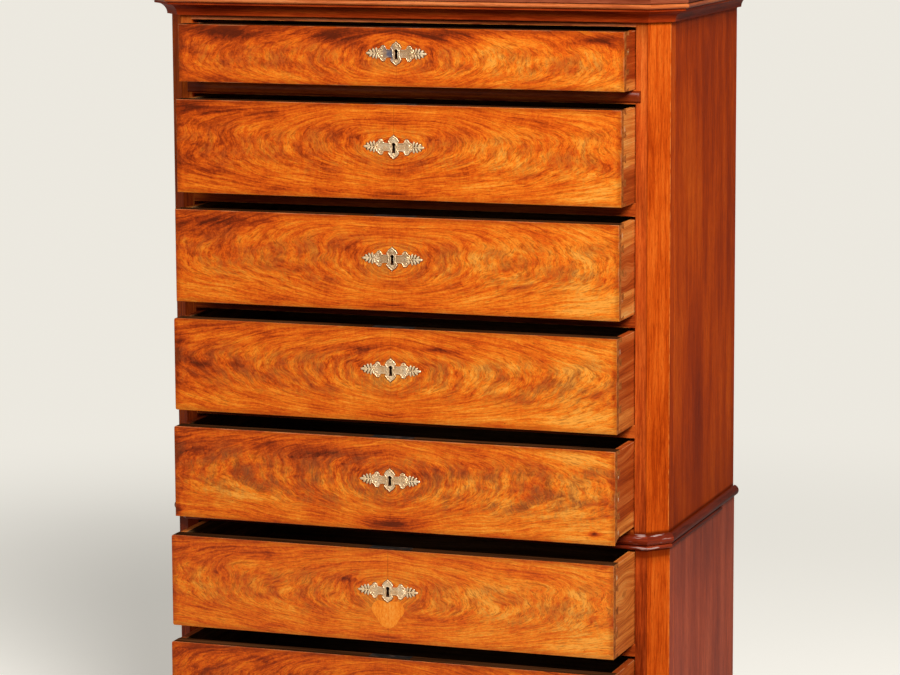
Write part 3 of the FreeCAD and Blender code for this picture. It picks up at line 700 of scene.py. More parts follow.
boardLook = {"ease": 0.0010, "shortest": 0.2, "paleAbove": math.inf}
caseBoards = {
    "upper_side_panels": ("dressed_upper_sides", "z", upperSideFinish, "mahogany_side", {}),
    "lower_side_panels": ("dressed_lower_sides", "z", lowerSideFinish, "mahogany_side", {}),
    "drawer_rails": ("dressed_rails", "x", stripFinish, "mahogany_post",
                     {"ease": 0.0009, "shortest": 0.5, "paleAbove": 1.338}),
    "back_boards": ("dressed_back", "z", caseFinish, "case_pine", {"ease": 0.0016}),
    "case_boards": ("dressed_case_boards", "x", caseFinish, "case_pine", {}),
    "drawer_runners": ("dressed_runners", "y", caseFinish, "case_pine", {}),
}

for nodeName, (name, along, finish, slotName, changes) in caseBoards.items():
    look = {**boardLook, **changes}
    bm = copyNode(nodeName)
    roundEdges(bm, sharpEdges(bm, look["shortest"]), look["ease"])
    layGrain(bm, along, name)
    for face in bm.faces:
        face.material_index = int(face.calc_center_median().z > look["paleAbove"])
    finishPiece(bm, name, "carcase", [finish, paleTopRailFinish], [nodeName])
print("case boards dressed")


# Posts: canted face, front strip, and outer faces that match the side boards

casePlan = {"cantWidth": 0.031, "cantDepth": 0.033}
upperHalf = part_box("upper_side_panels")[1].x
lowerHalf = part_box("lower_side_panels")[1].x
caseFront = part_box("drawer_rails")[0].y
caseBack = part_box("upper_side_panels")[1].y
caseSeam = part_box("upper_side_panels")[0].z
postLook = {"ease": 0.0012, "shortest": 0.25, "mark": 0.003}


def dressPosts(look):
    bm = copyNode("corner_posts")
    roundEdges(bm, sharpEdges(bm, look["shortest"]), look["ease"])
    layGrain(bm, "z", "corner_posts")
    bm.normal_update()
    wear = bm.faces.layers.float["wear"]
    tone = bm.verts.layers.float["tone"]
    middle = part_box("corner_posts")[1].z / 2
    for vert in bm.verts:
        vert[tone] = vert.co.z / middle - 1.0  # strips darken towards the floor
    for face in bm.faces:
        centre = face.calc_center_median()
        half = upperHalf if centre.z > caseSeam else lowerHalf
        fromArris = abs(abs(centre.x) - (half - casePlan["cantWidth"]))
        if max(fromArris, centre.y - caseFront) < look["mark"] and face[wear] > 0:
            face[wear] = -1.0  # joint line between strip and cant
        if face.normal.y < -facing:
            face.material_index = 1
        elif abs(centre.x) > half - look["mark"] and abs(face.normal.x) > facing:
            face.material_index = 2 if centre.z > caseSeam else 3
    finishPiece(bm, "dressed_posts", "carcase",
                [postFinish, stripFinish, upperSideFinish, lowerSideFinish], ["corner_posts"])


dressPosts(postLook)


# Mouldings, swept round the case in mitred lengths. A profile is points out from the case and up.

corniceLook = {"soffit": 0.0075, "hollow": 0.019, "fillet": 0.0015, "seat": 0.024, "steps": 12}
slabLook = {"reach": 0.034, "drop": 0.003, "round": 0.0077, "quirk": 0.0014, "quirkDepth": 0.0009,
            "setBack": 0.0012, "ease": 0.003, "steps": 10, "easeSteps": 4}
beadLook = {"waistHeight": 0.026, "waistProud": 0.008, "steps": 14, "lipHeight": 0.0065, "lipProud": 0.0052,
            "lipSteps": 6, "lipBroken": 0.105, "shadeLineTop": 0.0026, "dirtAndShade": -1.6}
plinthLook = {"behind": 0.022, "proud": 0.013, "cove": 0.010, "steps": 8}
timberShift = (1.7, 0.3)  # along and across, from one length to the next
shadedSideTone = -1.0  # the lengths along the sides are darker: painted shade


def planOf(half):
    strip = half - casePlan["cantWidth"]
    right = [(strip, caseFront), (half, caseFront + casePlan["cantDepth"]), (half, caseBack)]
    return [Vector((-x, y, 0.0)) for x, y in reversed(right)] + [Vector((x, y, 0.0)) for x, y in right]


def arcPoints(centre, radius, start, end, count):
    turns = [math.radians(start + (end - start) * i / count) for i in range(count + 1)]
    return [(centre[0] + radius * math.cos(t), centre[1] + radius * math.sin(t)) for t in turns]


def mitresOf(plan):
    normals = []
    for a, b in zip(plan, plan[1:]):
        along = (b - a).normalized()
        normals.append(Vector((along.y, -along.x, 0.0)))
    return [normals[0]] + [(a + b) / (1 + a.dot(b)) for a, b in zip(normals, normals[1:])] + [normals[-1]]


def sweepLengths(bm, plan, profile):
    grain = bm.verts.layers.float_vector["grain"]
    tone = bm.verts.layers.float["tone"]
    mitres = mitresOf(plan)
    for i, (a, b) in enumerate(zip(plan, plan[1:])):
        rings = []
        for corner, mitre, run in ((a, mitres[i], 0.0), (b, mitres[i + 1], (b - a).length)):
            ring = []
            for out, up in profile:
                vert = bm.verts.new(corner + mitre * out + Vector((0.0, 0.0, up)))
                vert[grain] = (run + timberShift[0] * i, up + timberShift[1] * i, out)
                vert[tone] = shadedSideTone if i in (0, len(plan) - 2) else 0.0
                ring.append(vert)
            rings.append(ring)
        edges = [bm.edges.new((r[j], r[j - 1])) for r in rings for j in range(len(r))]
        bmesh.ops.bridge_loops(bm, edges=edges)
        for ring in rings:
            bm.faces.new(ring)


def facesAlongSides(bm):
    tone = bm.verts.layers.float["tone"]
    return [f for f in bm.faces if all(v[tone] == shadedSideTone for v in f.verts)]


def newMoulding(plan, profile):
    bm = bmesh.new()
    bm.verts.layers.float_vector.new("grain")
    bm.verts.layers.float.new("tone")
    bm.faces.layers.float.new("wear")
    sweepLengths(bm, plan, profile)
    return bm


def finishMoulding(bm, name, finishes, nodeName, smoothAngle=30):
    finishPiece(sealed(bm), name, "carcase", finishes, [nodeName], smoothAngle)


def corniceProfile(low, high):  # hollow and fillet, stepped to seat the slab's moulded edge
    look = corniceLook
    reach = look["soffit"] + look["hollow"]
    lip = reach + look["fillet"]
    ledge = high - slabLook["drop"]
    hollow = arcPoints((reach, low), look["hollow"], 180, 90, look["steps"])
    return [(0.0, low), *hollow, (lip, low + look["hollow"]), (lip, ledge), (look["seat"], ledge),
            (look["seat"], high), (0.0, high)]


def slabProfile(low, high):  # half round at the bottom of the slab's edge, a quirk, then the flat edge
    look = slabLook
    half = look["round"] / 2
    bottom = low - look["drop"]
    top = bottom + look["round"]
    edge = look["reach"] - look["setBack"]
    groove = look["reach"] - half - look["quirkDepth"]
    nose = arcPoints((look["reach"] - half, bottom + half), half, -90, 90, look["steps"])
    corner = arcPoints((edge - look["ease"], high - look["ease"]), look["ease"], 0, 90, look["easeSteps"])
    return [(corniceLook["seat"], bottom), *nose, (groove, top), (groove, top + look["quirk"]),
            (edge, top + look["quirk"]), *corner, (corniceLook["seat"], high)]


def beadProfile(low, high, proud, steps):
    half = (high - low) / 2
    radius = (half ** 2 + proud ** 2) / (2 * proud)
    sweep = math.degrees(math.asin(half / radius))
    return arcPoints((proud - radius, (low + high) / 2), radius, -sweep, sweep, steps)


def plinthProfile(low, high):
    look = plinthLook
    cove = arcPoints((look["proud"], high), look["cove"], -90, -180, look["steps"])
    return [(-look["behind"], low), (look["proud"], low), *cove, (-look["behind"], high)]


upperPlan = planOf(upperHalf)
lowerPlan = planOf(lowerHalf)
corniceLow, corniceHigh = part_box("cornice")
bm = newMoulding(upperPlan, corniceProfile(corniceLow.z, corniceHigh.z))
for face in facesAlongSides(bm):
    face.material_index = 1
finishMoulding(bm, "dressed_cornice", [mouldingFinish, mouldingSideFinish], "cornice")

# Top slab: its moulded edge, and the board inside it
slabLow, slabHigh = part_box("top_board")
bm = newMoulding(upperPlan, slabProfile(slabLow.z, slabHigh.z))
roundTop = slabLow.z - slabLook["drop"] + slabLook["round"]
for face in bm.faces:
    face.material_index = int(max(v.co.z for v in face.verts) < roundTop + nearly)
for face in facesAlongSides(bm):
    face.material_index += 2
corners = [c + m * corniceLook["seat"] for c, m in zip(upperPlan, mitresOf(upperPlan))]
slab = bm.faces.new([bm.verts.new((c.x, c.y, slabLow.z)) for c in corners])
slabTop = raiseFaces(bm, [slab], (0.0, 0.0, slabHigh.z - slabLow.z))[1]
grain = bm.verts.layers.float_vector["grain"]
for vert in list(slab.verts) + slabTop:
    vert[grain] = (vert.co.x, vert.co.y, vert.co.z)
finishMoulding(bm, "dressed_top", [slabFinish, nosingFinish, slabSideFinish, nosingSideFinish], "top_board")

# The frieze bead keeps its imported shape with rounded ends, the waist bead and its lip are swept
bm = copyNode("bead_mouldings")
bmesh.ops.delete(bm, geom=[v for v in bm.verts if v.co.z < caseSeam * 2], context="VERTS")
layGrain(bm, "x", "frieze")
for face in bm.faces:
    face.material_index = 1
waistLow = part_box("bead_mouldings")[0].z
waistTop = waistLow + beadLook["waistHeight"]
lipTop = waistLow + beadLook["lipHeight"]
sweepLengths(bm, lowerPlan, beadProfile(lipTop, waistTop, beadLook["waistProud"], beadLook["steps"]))
lipPlan = planOf(lowerHalf)
lipPlan[-1].y = caseBack - beadLook["lipBroken"]  # broken off near the back on the right
lipRound = beadProfile(waistLow, lipTop, beadLook["lipProud"], beadLook["lipSteps"])
sweepLengths(bm, lipPlan, [(0.0, waistLow), *lipRound, (0.0, lipTop)])
for face in facesAlongSides(bm):
    face.material_index = 2
wear = bm.faces.layers.float["wear"]
for face in bm.faces:
    if 0 < waistTop - face.calc_center_median().z < beadLook["shadeLineTop"]:
        face[wear] = beadLook["dirtAndShade"]  # dark line where the upper case stands on it: painted shade in the joint
finishMoulding(bm, "dressed_beads", [beadFinish, friezeFinish, beadSideFinish], "bead_mouldings")


# Plinth: five mitred lengths, a rail along the back and a bearer under the middle

def plank(bm, low, high, seed):
    low, high = Vector(low), Vector(high)
    grain = bm.verts.layers.float_vector["grain"]
    place = Matrix.Translation((low + high) / 2) @ Matrix.Diagonal((*(high - low), 1.0))
    for vert in bmesh.ops.create_cube(bm, size=1.0, matrix=place)["verts"]:
        vert[grain] = (vert.co.x + seed, vert.co.z, vert.co.y)


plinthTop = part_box("plinth")[1].z
behind = plinthLook["behind"]
bm = newMoulding(lowerPlan, plinthProfile(0.0, plinthTop))
plank(bm, (behind - lowerHalf, caseBack - behind, 0.0), (lowerHalf - behind, caseBack, plinthTop), 7.0)
plank(bm, (-behind / 2, caseFront + behind, 0.0), (behind / 2, caseBack - behind, plinthTop), 8.0)
for face in facesAlongSides(bm):
    face.material_index = 1
finishMoulding(bm, "dressed_plinth", [mouldingFinish, mouldingSideFinish], "plinth", 22)
print("mouldings swept")


# Drawers

frontLook = {"ease": 0.0011, "wornCorner": 0.0032, "wornSegments": 3, "wornFrom": 4, "shortestCorner": 0.004,
             "shortestRim": 0.0002, "clearOfKey": 0.02, "leafDepth": 0.004, "leafTilt": 0.2,
             "keyWide": 0.006, "keyTall": 0.012}
boxLook = {"shortest": 0.05, "ease": 0.0008, "inside": -0.2}
sideBands = {
    1: [(1.256, 1.40, 1.0)], 2: [(1.00, 1.112, 0.85)], 3: [(0.905, 0.982, 0.85)], 4: [(0.706, 0.90, 0.9)],
    5: [(0.523, 0.70, 0.9)], 6: [(0.30, 0.315, 0.4)], 7: [(0.16, 0.30, 0.7)],
}
sideKnots = {  # y, z, half length and half height
    3: [(-0.283, 0.936, 0.045, 0.026)], 5: [(-0.30, 0.66, 0.10, 0.05)], 6: [(-0.292, 0.395, 0.075, 0.045)],
}
chipLook = {"behind": 0.019, "size": 0.004}
chipShares = {  # up the front, from its foot
    2: [0.24, 0.80], 3: [0.20, 0.45, 0.88], 4: [0.15, 0.50, 0.85], 5: [0.12, 0.48, 0.72], 6: [0.30, 0.85],
}


def keyLevel(k):
    low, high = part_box("drawer_%d_escutcheon" % k)
    return (low.z + high.z) / 2


def dressFront(k):
    nodeName = "drawer_%d_front" % k
    low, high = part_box(nodeName)
    bm = copyNode(nodeName)
    look = frontLook

    def onFace(vert):
        return abs(vert.co.y - low.y) < nearly

    def leftCorner(edge):  # short edges that run back from the front's two left corners
        a, b = edge.verts
        runsBack = abs(a.co.x - b.co.x) < nearly and abs(a.co.z - b.co.z) < nearly
        return runsBack and (onFace(a) or onFace(b)) and abs(a.co.x - low.x) < nearly

    def onRim(edge):
        farthest = max(abs(v.co.x) for v in edge.verts)
        return all(onFace(v) for v in edge.verts) and farthest > look["clearOfKey"]

    if k >= look["wornFrom"]:
        worn = sharpEdges(bm, look["shortestCorner"], leftCorner)
        roundEdges(bm, worn, look["wornCorner"], look["wornSegments"])
    roundEdges(bm, sharpEdges(bm, look["shortestRim"], onRim), look["ease"])
    for face in bm.faces:
        centre = face.calc_center_median()
        atKey = abs(centre.x) < look["keyWide"] and abs(centre.z - keyLevel(k)) < look["keyTall"]
        if face.normal.y < -look["leafTilt"] and centre.y < low.y + look["leafDepth"]:
            face.material_index = 0
        elif abs(face.normal.y) < look["leafTilt"] and atKey:
            face.material_index = 2  # walls of the keyhole, painted near-black as shade
        # top faces: near-black, painted shade from the drawer above
        elif face.normal.z > facing and centre.z > high.z - look["ease"]:
            face.material_index = 3
        else:
            face.material_index = 1
    layGrain(bm, "x", nodeName)
    leaves = veneer("veneer%d" % k, dict(veneerLooks[k], eye=keyLevel(k)), (low, high))
    finishPiece(bm, "dressed_front_%d" % k, "drawer_%d" % k,
                [leaves, coreFinish, shadedKeyholeFinish, shadedTopEdgeFinish], [nodeName])


def sideWood(k):
    low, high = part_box("drawer_%d_front" % k)
    chips = [(low.y + chipLook["behind"], low.z + share * (high.z - low.z), chipLook["size"])
             for share in chipShares.get(k, [])]
    look = {**drawerPine, "bands": sideBands[k], "knots": sideKnots.get(k, []), "chips": chips}
    return straightGrain("drawerSide%d" % k, look)


for k in drawerNumbers:
    dressFront(k)
    boxParts = (("sides", "y", sideWood(k)), ("back", "x", shadedInsideFinish), ("bottom", "x", shadedInsideFinish))
    for part, along, finish in boxParts:
        nodeName = "drawer_%d_%s" % (k, part)
        bm = copyNode(nodeName)
        roundEdges(bm, sharpEdges(bm, boxLook["shortest"]), boxLook["ease"])
        layGrain(bm, along, nodeName)
        bm.normal_update()
        for face in bm.faces:  # inner faces of the sides look towards the middle
            face.material_index = int(face.normal.x * face.calc_center_median().x < boxLook["inside"])
        finishPiece(bm, "dressed_%s_%d" % (part, k), "drawer_%d" % k,
                    [finish, shadedInsideFinish], [nodeName])
    for part in ("lock", "lock_bolt"):
        iron = nodes["drawer_%d_%s" % (k, part)].data
        iron.materials.clear()
        iron.materials.append(ironFinish)
print("drawers dressed")


# Screws in the locks, nails in the back boards and a pin in the first drawer's side

screwLook = {"radius": 0.0026, "slot": 0.0008, "rise": 0.0003, "segments": 14, "inset": 0.006,
             "backShare": 0.8}
nailLook = {"radius": 0.0030, "rise": 0.0009, "inset": 0.018}
pinLook = {"drawer": 1, "radius": 0.0016, "rise": 0.0006, "behind": 0.022, "below": 0.034}


def slottedScrew(bm, place, outward, look):
    made = bmesh.new()
    bmesh.ops.create_circle(made, cap_ends=True, segments=look["segments"], radius=look["radius"])
    for side in (1, -1):
        bmesh.ops.bisect_plane(made, geom=made.verts[:] + made.edges[:] + made.faces[:],
                               plane_co=(0.0, side * look["slot"] / 2, 0.0), plane_no=(0.0, 1.0, 0.0))
    for half in [f for f in made.faces if abs(f.calc_center_median().y) > look["slot"]]:
        raiseFaces(made, [half], (0.0, 0.0, look["rise"]))
    addMesh(bm, made, place, outward)


def nailHead(bm, place, outward, look):
    made = bmesh.new()
    bmesh.ops.create_uvsphere(made, u_segments=10, v_segments=4, radius=1.0,
                              matrix=Matrix.Diagonal((look["radius"], look["radius"], look["rise"], 1.0)))
    addMesh(bm, made, place, outward)


def addMesh(bm, made, place, outward):
    turn = Vector(outward).to_track_quat("Z", "Y").to_matrix().to_4x4()
    bmesh.ops.transform(made, matrix=Matrix.Translation(place) @ turn, verts=made.verts)
    passing = bpy.data.meshes.new("passing")
    made.to_mesh(passing)
    made.free()
    bm.from_mesh(passing)
    bpy.data.meshes.remove(passing)


for k in drawerNumbers:
    low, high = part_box("drawer_%d_lock" % k)
    middle = (low.y + high.y) / 2
    inset = screwLook["inset"]
    bm = bmesh.new()
    for side in (1, -1):
        x = side * (high.x - inset)
        slottedScrew(bm, (x, middle, high.z), (0.0, 0.0, 1.0), screwLook)
        for z in (low.z + inset, high.z - 2 * inset):
            slottedScrew(bm, (x * screwLook["backShare"], high.y, z), (0.0, 1.0, 0.0), screwLook)
    finishPiece(sealed(bm), "lock_screws_%d" % k, "drawer_%d" % k, [ironFinish])

bm = bmesh.new()
boards = copyNode("back_boards")
for part in looseParts(boards):
    xs = [v.co.x for v in part]
    zs = [v.co.z for v in part]
    back = max(v.co.y for v in part)
    for x in (min(xs) + nailLook["inset"], max(xs) - nailLook["inset"]):
        for z in (min(zs) + nailLook["inset"], max(zs) - nailLook["inset"]):
            nailHead(bm, (x, back, z), (0.0, 1.0, 0.0), nailLook)
boards.free()
finishPiece(bm, "back_nails", "carcase", [ironFinish], smoothAngle=40)

low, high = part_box("drawer_%d_front" % pinLook["drawer"])
bm = bmesh.new()
nailHead(bm, (high.x, low.y + pinLook["behind"], high.z - pinLook["below"]), (1.0, 0.0, 0.0), pinLook)
relief = bm.verts.layers.float.new("relief")
for vert in bm.verts:
    vert[relief] = 1.0
finishPiece(bm, "side_pin", "drawer_%d" % pinLook["drawer"], [giltFinish], smoothAngle=40)
print("screws and nails set")


# Keyhole plates: a cartouche, hatched panels with three lobes, and sprays of leaflets.
# Places are x and z in metres from the keyhole, for the upper right quarter.

plateLook = {
    "sheet": 0.0008, "rise": 0.0017, "edge": 0.00028, "rim": 0.0009, "faceRim": 0.0007, "sunk": 0.0004,
    "cartouche": [(0.0, 0.0205), (0.0012, 0.0188), (0.0036, 0.0170), (0.0064, 0.0152), (0.0080, 0.0126),
                  (0.0097, 0.0108), (0.0090, 0.0092), (0.0074, 0.0078), (0.0068, 0.0050), (0.0068, 0.0)],
    "panel": [(0.0050, 0.0066), (0.0120, 0.0062), (0.0165, 0.0066), (0.0190, 0.0086), (0.0194, 0.0110),
              (0.0212, 0.0130), (0.0238, 0.0134), (0.0262, 0.0122), (0.0276, 0.0100), (0.0284, 0.0084),
              (0.0306, 0.0078), (0.0322, 0.0060), (0.0322, 0.0036), (0.0330, 0.0022), (0.0336, 0.0)],
    "leaflets": [((0.0340, 0.0004), (0.0362, 0.0102)), ((0.0380, 0.0004), (0.0424, 0.0090)),
                 ((0.0424, 0.0002), (0.0484, 0.0062))],
    "leaflet": {"wide": 0.0021, "rise": 0.0016},
    "tip": ((0.0425, 0.0), (0.0548, 0.0)), "tipShape": {"wide": 0.0027, "rise": 0.0018},
    "stem": ((0.0320, 0.0), (0.0552, 0.0)), "stemShape": {"wide": 0.0014, "rise": 0.0017},
    "scrolls": [((0.0236, 0.0090), 0.0028, 210, -80, 8), ((0.0290, 0.0036), 0.0021, 150, -110, 6)],
    "scroll": {"wide": 0.0007, "rise": 0.0012}, "bead": (0.0010, 0.0011),
    "shell": [((0.0312, 0.0003), (0.0206, 0.0014)), ((0.0304, 0.0016), (0.0232, 0.0056))],
    "shellShape": {"wide": 0.0010, "rise": 0.0013},
    "rope": {"wide": 0.0008, "rise": 0.0011}, "ropeInset": 0.94, "ropeLap": 1.45, "fieldRelief": 0.36,
    "ribs": [0.0096, 0.0110, 0.0124, 0.0138, 0.0152, 0.0166, 0.0180], "ribEnd": 0.0050,
    "rib": {"wide": 0.00035, "rise": 0.0007},
    "bar": ((0.0054, 0.0072), (0.0060, -0.0004)), "barShape": {"wide": 0.0009, "rise": 0.0012},
    "flower": 0.0132, "flowerReach": 0.0034, "flowerPetals": 6,
    "flowerShape": {"wide": 0.0008, "rise": 0.0008},
    "keyRound": 0.0034, "keyTop": 0.0042, "keyNeck": 0.0023, "keyFoot": 0.0034, "keyBottom": -0.0103,
    "keySteps": 16,
    "middles": {"panel": 0.0200, "spray": 0.0430, "cartouche": 0.0},
    "spray": [(0.0325, 0.0034), (0.0342, 0.0060), (0.0364, 0.0102), (0.0390, 0.0062), (0.0428, 0.0090),
              (0.0444, 0.0052), (0.0486, 0.0062), (0.0500, 0.0030), (0.0552, 0.0)],
    # grime: how far the dark sheet round the plate spreads; the sheet is partly painted shadow
    "grime": 1.055, "shadowSheetRise": 0.00025, "shadowSheetHole": 0.75,
}


def upAndDown(upper):
    return upper + [(x, -z) for x, z in reversed(upper[:-1])]


def mirroredOutline(right):  # right half from the top down, with its left side added
    return right + [(-x, z) for x, z in reversed(right[1:-1])]


def keyholeOutline():
    look = plateLook
    turn = math.degrees(math.asin(look["keyNeck"] / look["keyRound"]))
    top = arcPoints((0.0, look["keyTop"]), look["keyRound"], -90 + turn, 270 - turn, look["keySteps"])
    return [*top, (-look["keyFoot"], look["keyBottom"]), (look["keyFoot"], look["keyBottom"])]


def outlineLoop(bm, outline):
    verts = [bm.verts.new((x, 0.0, z)) for x, z in outline]
    return verts, [bm.edges.new((a, b)) for a, b in zip(verts, verts[1:] + verts[:1])]


def raisedSheet(bm, outline, rise, edge, hole=None, rim=0.0, sunk=0.0):
    verts, edges = outlineLoop(bm, outline)
    if hole:
        edges += outlineLoop(bm, hole)[1]
        faces = bmesh.ops.bridge_loops(bm, edges=edges)["faces"]
    else:
        faces = [bm.faces.new(verts)]
    made = raiseFaces(bm, faces, (0.0, -rise, 0.0))[0]
    top = {item for item in made if isinstance(item, bmesh.types.BMFace)}
    bevelEdges(bm, [e for e in bm.edges if len(top & set(e.link_faces)) == 1], edge)
    if rim:
        field = [f for f in bm.faces if all(abs(v.co.y + rise) < flush for v in f.verts)]
        bmesh.ops.inset_region(bm, faces=field, thickness=rim, depth=0.0, use_boundary=True,
                               use_even_offset=True)
        bmesh.ops.translate(bm, vec=(0.0, sunk, 0.0), verts=list({v for f in field for v in f.verts}))


def mirrorAcross(bm):
    bmesh.ops.mirror(bm, geom=bm.verts[:] + bm.edges[:] + bm.faces[:], matrix=Matrix.Identity(4),
                     merge_dist=0.0, axis="X")


def swell(bm, shape, base, rise):  # a rounded lump, and how far each point stands up out of the dirt
    relief = bm.verts.layers.float["relief"]
    for vert in bmesh.ops.create_uvsphere(bm, u_segments=8, v_segments=6, radius=1.0, matrix=shape)["verts"]:
        vert[relief] = max(0.0, (-vert.co.y - base) / rise)


def dome(bm, place, base, size, rise):
    shape = Matrix.Translation((place[0], -base, place[1])) @ Matrix.Diagonal((size, rise, size, 1.0))
    swell(bm, shape, base, rise)


def petal(bm, start, end, base, wide, rise):  # a spindle lying on the sheet
    run = Vector((end[0] - start[0], 0.0, end[1] - start[1]))
    middle = Matrix.Translation(((start[0] + end[0]) / 2, -base, (start[1] + end[1]) / 2))
    turn = Matrix.Rotation(math.atan2(run.x, run.z), 4, "Y")
    swell(bm, middle @ turn @ Matrix.Diagonal((wide, rise, run.length / 2, 1.0)), base, rise)


def rope(bm, points, base, lap, shape):  # a pressed rim of short spindles from point to point
    for (x0, z0), (x1, z1) in zip(points, points[1:]):
        petal(bm, (x0, z0), (x0 + (x1 - x0) * lap, z0 + (z1 - z0) * lap), base, **shape)


def drawnIn(points, centre, share):
    return [(centre + (x - centre) * share, z * share) for x, z in points]


def pressQuarter(bm, look, field, flip, side):
    def turned(points):
        return [(flip * x, side * z) for x, z in points]

    for part, base in (("panel", look["sheet"]), ("cartouche", look["rise"])):
        inner = drawnIn(look[part], look["middles"][part], look["ropeInset"])
        rope(bm, turned(inner), base, look["ropeLap"], look["rope"])
    for centre, radius, start, end, steps in look["scrolls"]:
        rope(bm, turned(arcPoints(centre, radius, start, end, steps)), field, look["ropeLap"], look["scroll"])
        dome(bm, turned([centre])[0], field, *look["bead"])
    petals = [(ends, 0.0, "leaflet") for ends in look["leaflets"]]
    petals += [(ends, field, "shellShape") for ends in look["shell"]]
    petals.append((look["bar"], look["rise"], "barShape"))
    for ends, base, shape in petals:
        petal(bm, *turned(ends), base, **look[shape])


def pressFlower(bm, look, side):
    middle = (0.0, side * look["flower"])
    dome(bm, middle, look["rise"], *look["bead"])
    for turn in range(look["flowerPetals"]):
        angle = 2 * math.pi * turn / look["flowerPetals"]
        end = (look["flowerReach"] * math.sin(angle), middle[1] + look["flowerReach"] * math.cos(angle))
        petal(bm, middle, end, look["rise"] - look["sunk"], **look["flowerShape"])


def plateMesh():
    look = plateLook
    sheet = look["sheet"]
    field = sheet - look["sunk"]
    bm = bmesh.new()
    relief = bm.verts.layers.float.new("relief")
    raisedSheet(bm, upAndDown(look["panel"]), sheet, look["edge"], None, look["rim"], look["sunk"])
    mirrorAcross(bm)
    cartouche = mirroredOutline(upAndDown(look["cartouche"]))
    raisedSheet(bm, cartouche, look["rise"], look["edge"], keyholeOutline(), look["faceRim"], look["sunk"])
    for vert in bm.verts:
        onTop = min(abs(vert.co.y + sheet), abs(vert.co.y + look["rise"])) < flush
        vert[relief] = 1.0 if onTop else look["fieldRelief"]
    for flip in (1, -1):
        for side in (1, -1):
            pressQuarter(bm, look, field, flip, side)
        for part in ("stem", "tip"):
            start, end = [(flip * x, z) for x, z in look[part]]
            petal(bm, start, end, 0.0, **look[part + "Shape"])
        for x in look["ribs"]:
            petal(bm, (flip * x, -look["ribEnd"]), (flip * x, look["ribEnd"]), field, **look["rib"])
        pressFlower(bm, look, flip)
    return sealed(bm)


def shadowAndGrimeMesh():  # dark sheet round the plate and in its keyhole: partly old polish built up there, partly painted shadow of the plate's edge and painted shade in the keyhole
    look = plateLook
    rise = look["shadowSheetRise"]
    bm = bmesh.new()
    for part in ("panel", "spray"):
        raisedSheet(bm, drawnIn(upAndDown(look[part]), look["middles"][part], look["grime"]), rise, rise / 2)
    mirrorAcross(bm)
    outline = drawnIn(mirroredOutline(upAndDown(look["cartouche"])), 0.0, look["grime"])
    raisedSheet(bm, outline, rise, rise / 2, drawnIn(keyholeOutline(), 0.0, look["shadowSheetHole"]))
    return sealed(bm)


tarnished = {"drawer": 1, "from": -0.022, "to": -0.006}
plateShine = {1: -0.12, 3: -0.12, 4: 0.05, 5: 0.04, 6: 0.09}  # duller and cleaner plates
pressedPlate = plateMesh()
shadowAndPolishRound = shadowAndGrimeMesh()
for k in drawerNumbers:
    nodeName = "drawer_%d_escutcheon" % k
    place = (0.0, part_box(nodeName)[1].y, keyLevel(k))
    bm = pressedPlate.copy()
    tarnish = bm.verts.layers.float.new("tarnish")
    relief = bm.verts.layers.float["relief"]
    for vert in bm.verts:
        vert[relief] += plateShine.get(k, 0.0)
        vert[tarnish] = float(k == tarnished["drawer"] and tarnished["from"] < vert.co.x < tarnished["to"])
    bmesh.ops.translate(bm, vec=place, verts=bm.verts)
    finishPiece(bm, "keyhole_plate_%d" % k, "drawer_%d" % k, [giltFinish], [nodeName], 40)
    bm = shadowAndPolishRound.copy()
    bmesh.ops.translate(bm, vec=place, verts=bm.verts)
    finishPiece(bm, "plate_shadow_and_grime_%d" % k, "drawer_%d" % k, [shadowAndGrimeFinish])
print("keyhole plates pressed")


# Heart-shaped patch let into the sixth front under its plate

patchLook = {"drawer": 6, "notch": -0.0185, "lobe": (0.0148, -0.0318), "lobeRadius": 0.0146,
             "lobeTurn": (112, -40), "lobeSteps": 12, "toe": -0.0455, "toeRadius": 0.0190,
             "toeTurn": (-18, -90), "toeSteps": 8, "proud": 0.00025, "edge": 0.0001, "rimTilt": -0.95}


def heartOutline(look):
    lobe = arcPoints(look["lobe"], look["lobeRadius"], *look["lobeTurn"], look["lobeSteps"])
    toe = arcPoints((0.0, look["toe"]), look["toeRadius"], *look["toeTurn"], look["toeSteps"])
    return mirroredOutline([(0.0, look["notch"]), *lobe, *toe])


patchBody = "drawer_%d" % patchLook["drawer"]
bm = bmesh.new()
wear = bm.faces.layers.float.new("wear")
raisedSheet(bm, heartOutline(patchLook), patchLook["proud"], patchLook["edge"])
sealed(bm)
patchPlace = (0.0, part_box(patchBody + "_front")[0].y, keyLevel(patchLook["drawer"]))
bmesh.ops.translate(bm, vec=patchPlace, verts=bm.verts)
for face in bm.faces:
    face[wear] = float(face.normal.y > patchLook["rimTilt"])
finishPiece(bm, "heart_patch", patchBody, [patchFinish])
print("patch let in")


# Floor, light and camera

studio = {"pale": (0.84, 0.81, 0.74), "ground": (0.95, 0.92, 0.84), "bounce": (0.34, 0.33, 0.30),
          "air": (1.0, 0.98, 0.95), "near": 1.36, "far": 3.4, "floorRadius": 40.0, "floorSegments": 96,
          "glow": 0.44, "ambient": 0.12, "mirrorShare": 0.32}


# How much of the pale ground a ray sees: all of it from the camera, a share in reflections

def paleRays(tree):
    rays = put("LightPath", {}, tree).outputs
    mirrored = maths("MAXIMUM", rays["Is Glossy Ray"], rays["Is Transmission Ray"])
    return maths("MAXIMUM", rays["Is Camera Ray"], times(mirrored, studio["mirrorShare"]))


def lit(tree, kind, colour, **sockets):
    return put(kind, {"Color": (*studio[colour], 1.0), **sockets}, tree).outputs[0]


def mixShaders(share, first, second):
    return put("MixShader", {0: share, 1: first, 2: second}).outputs[0]


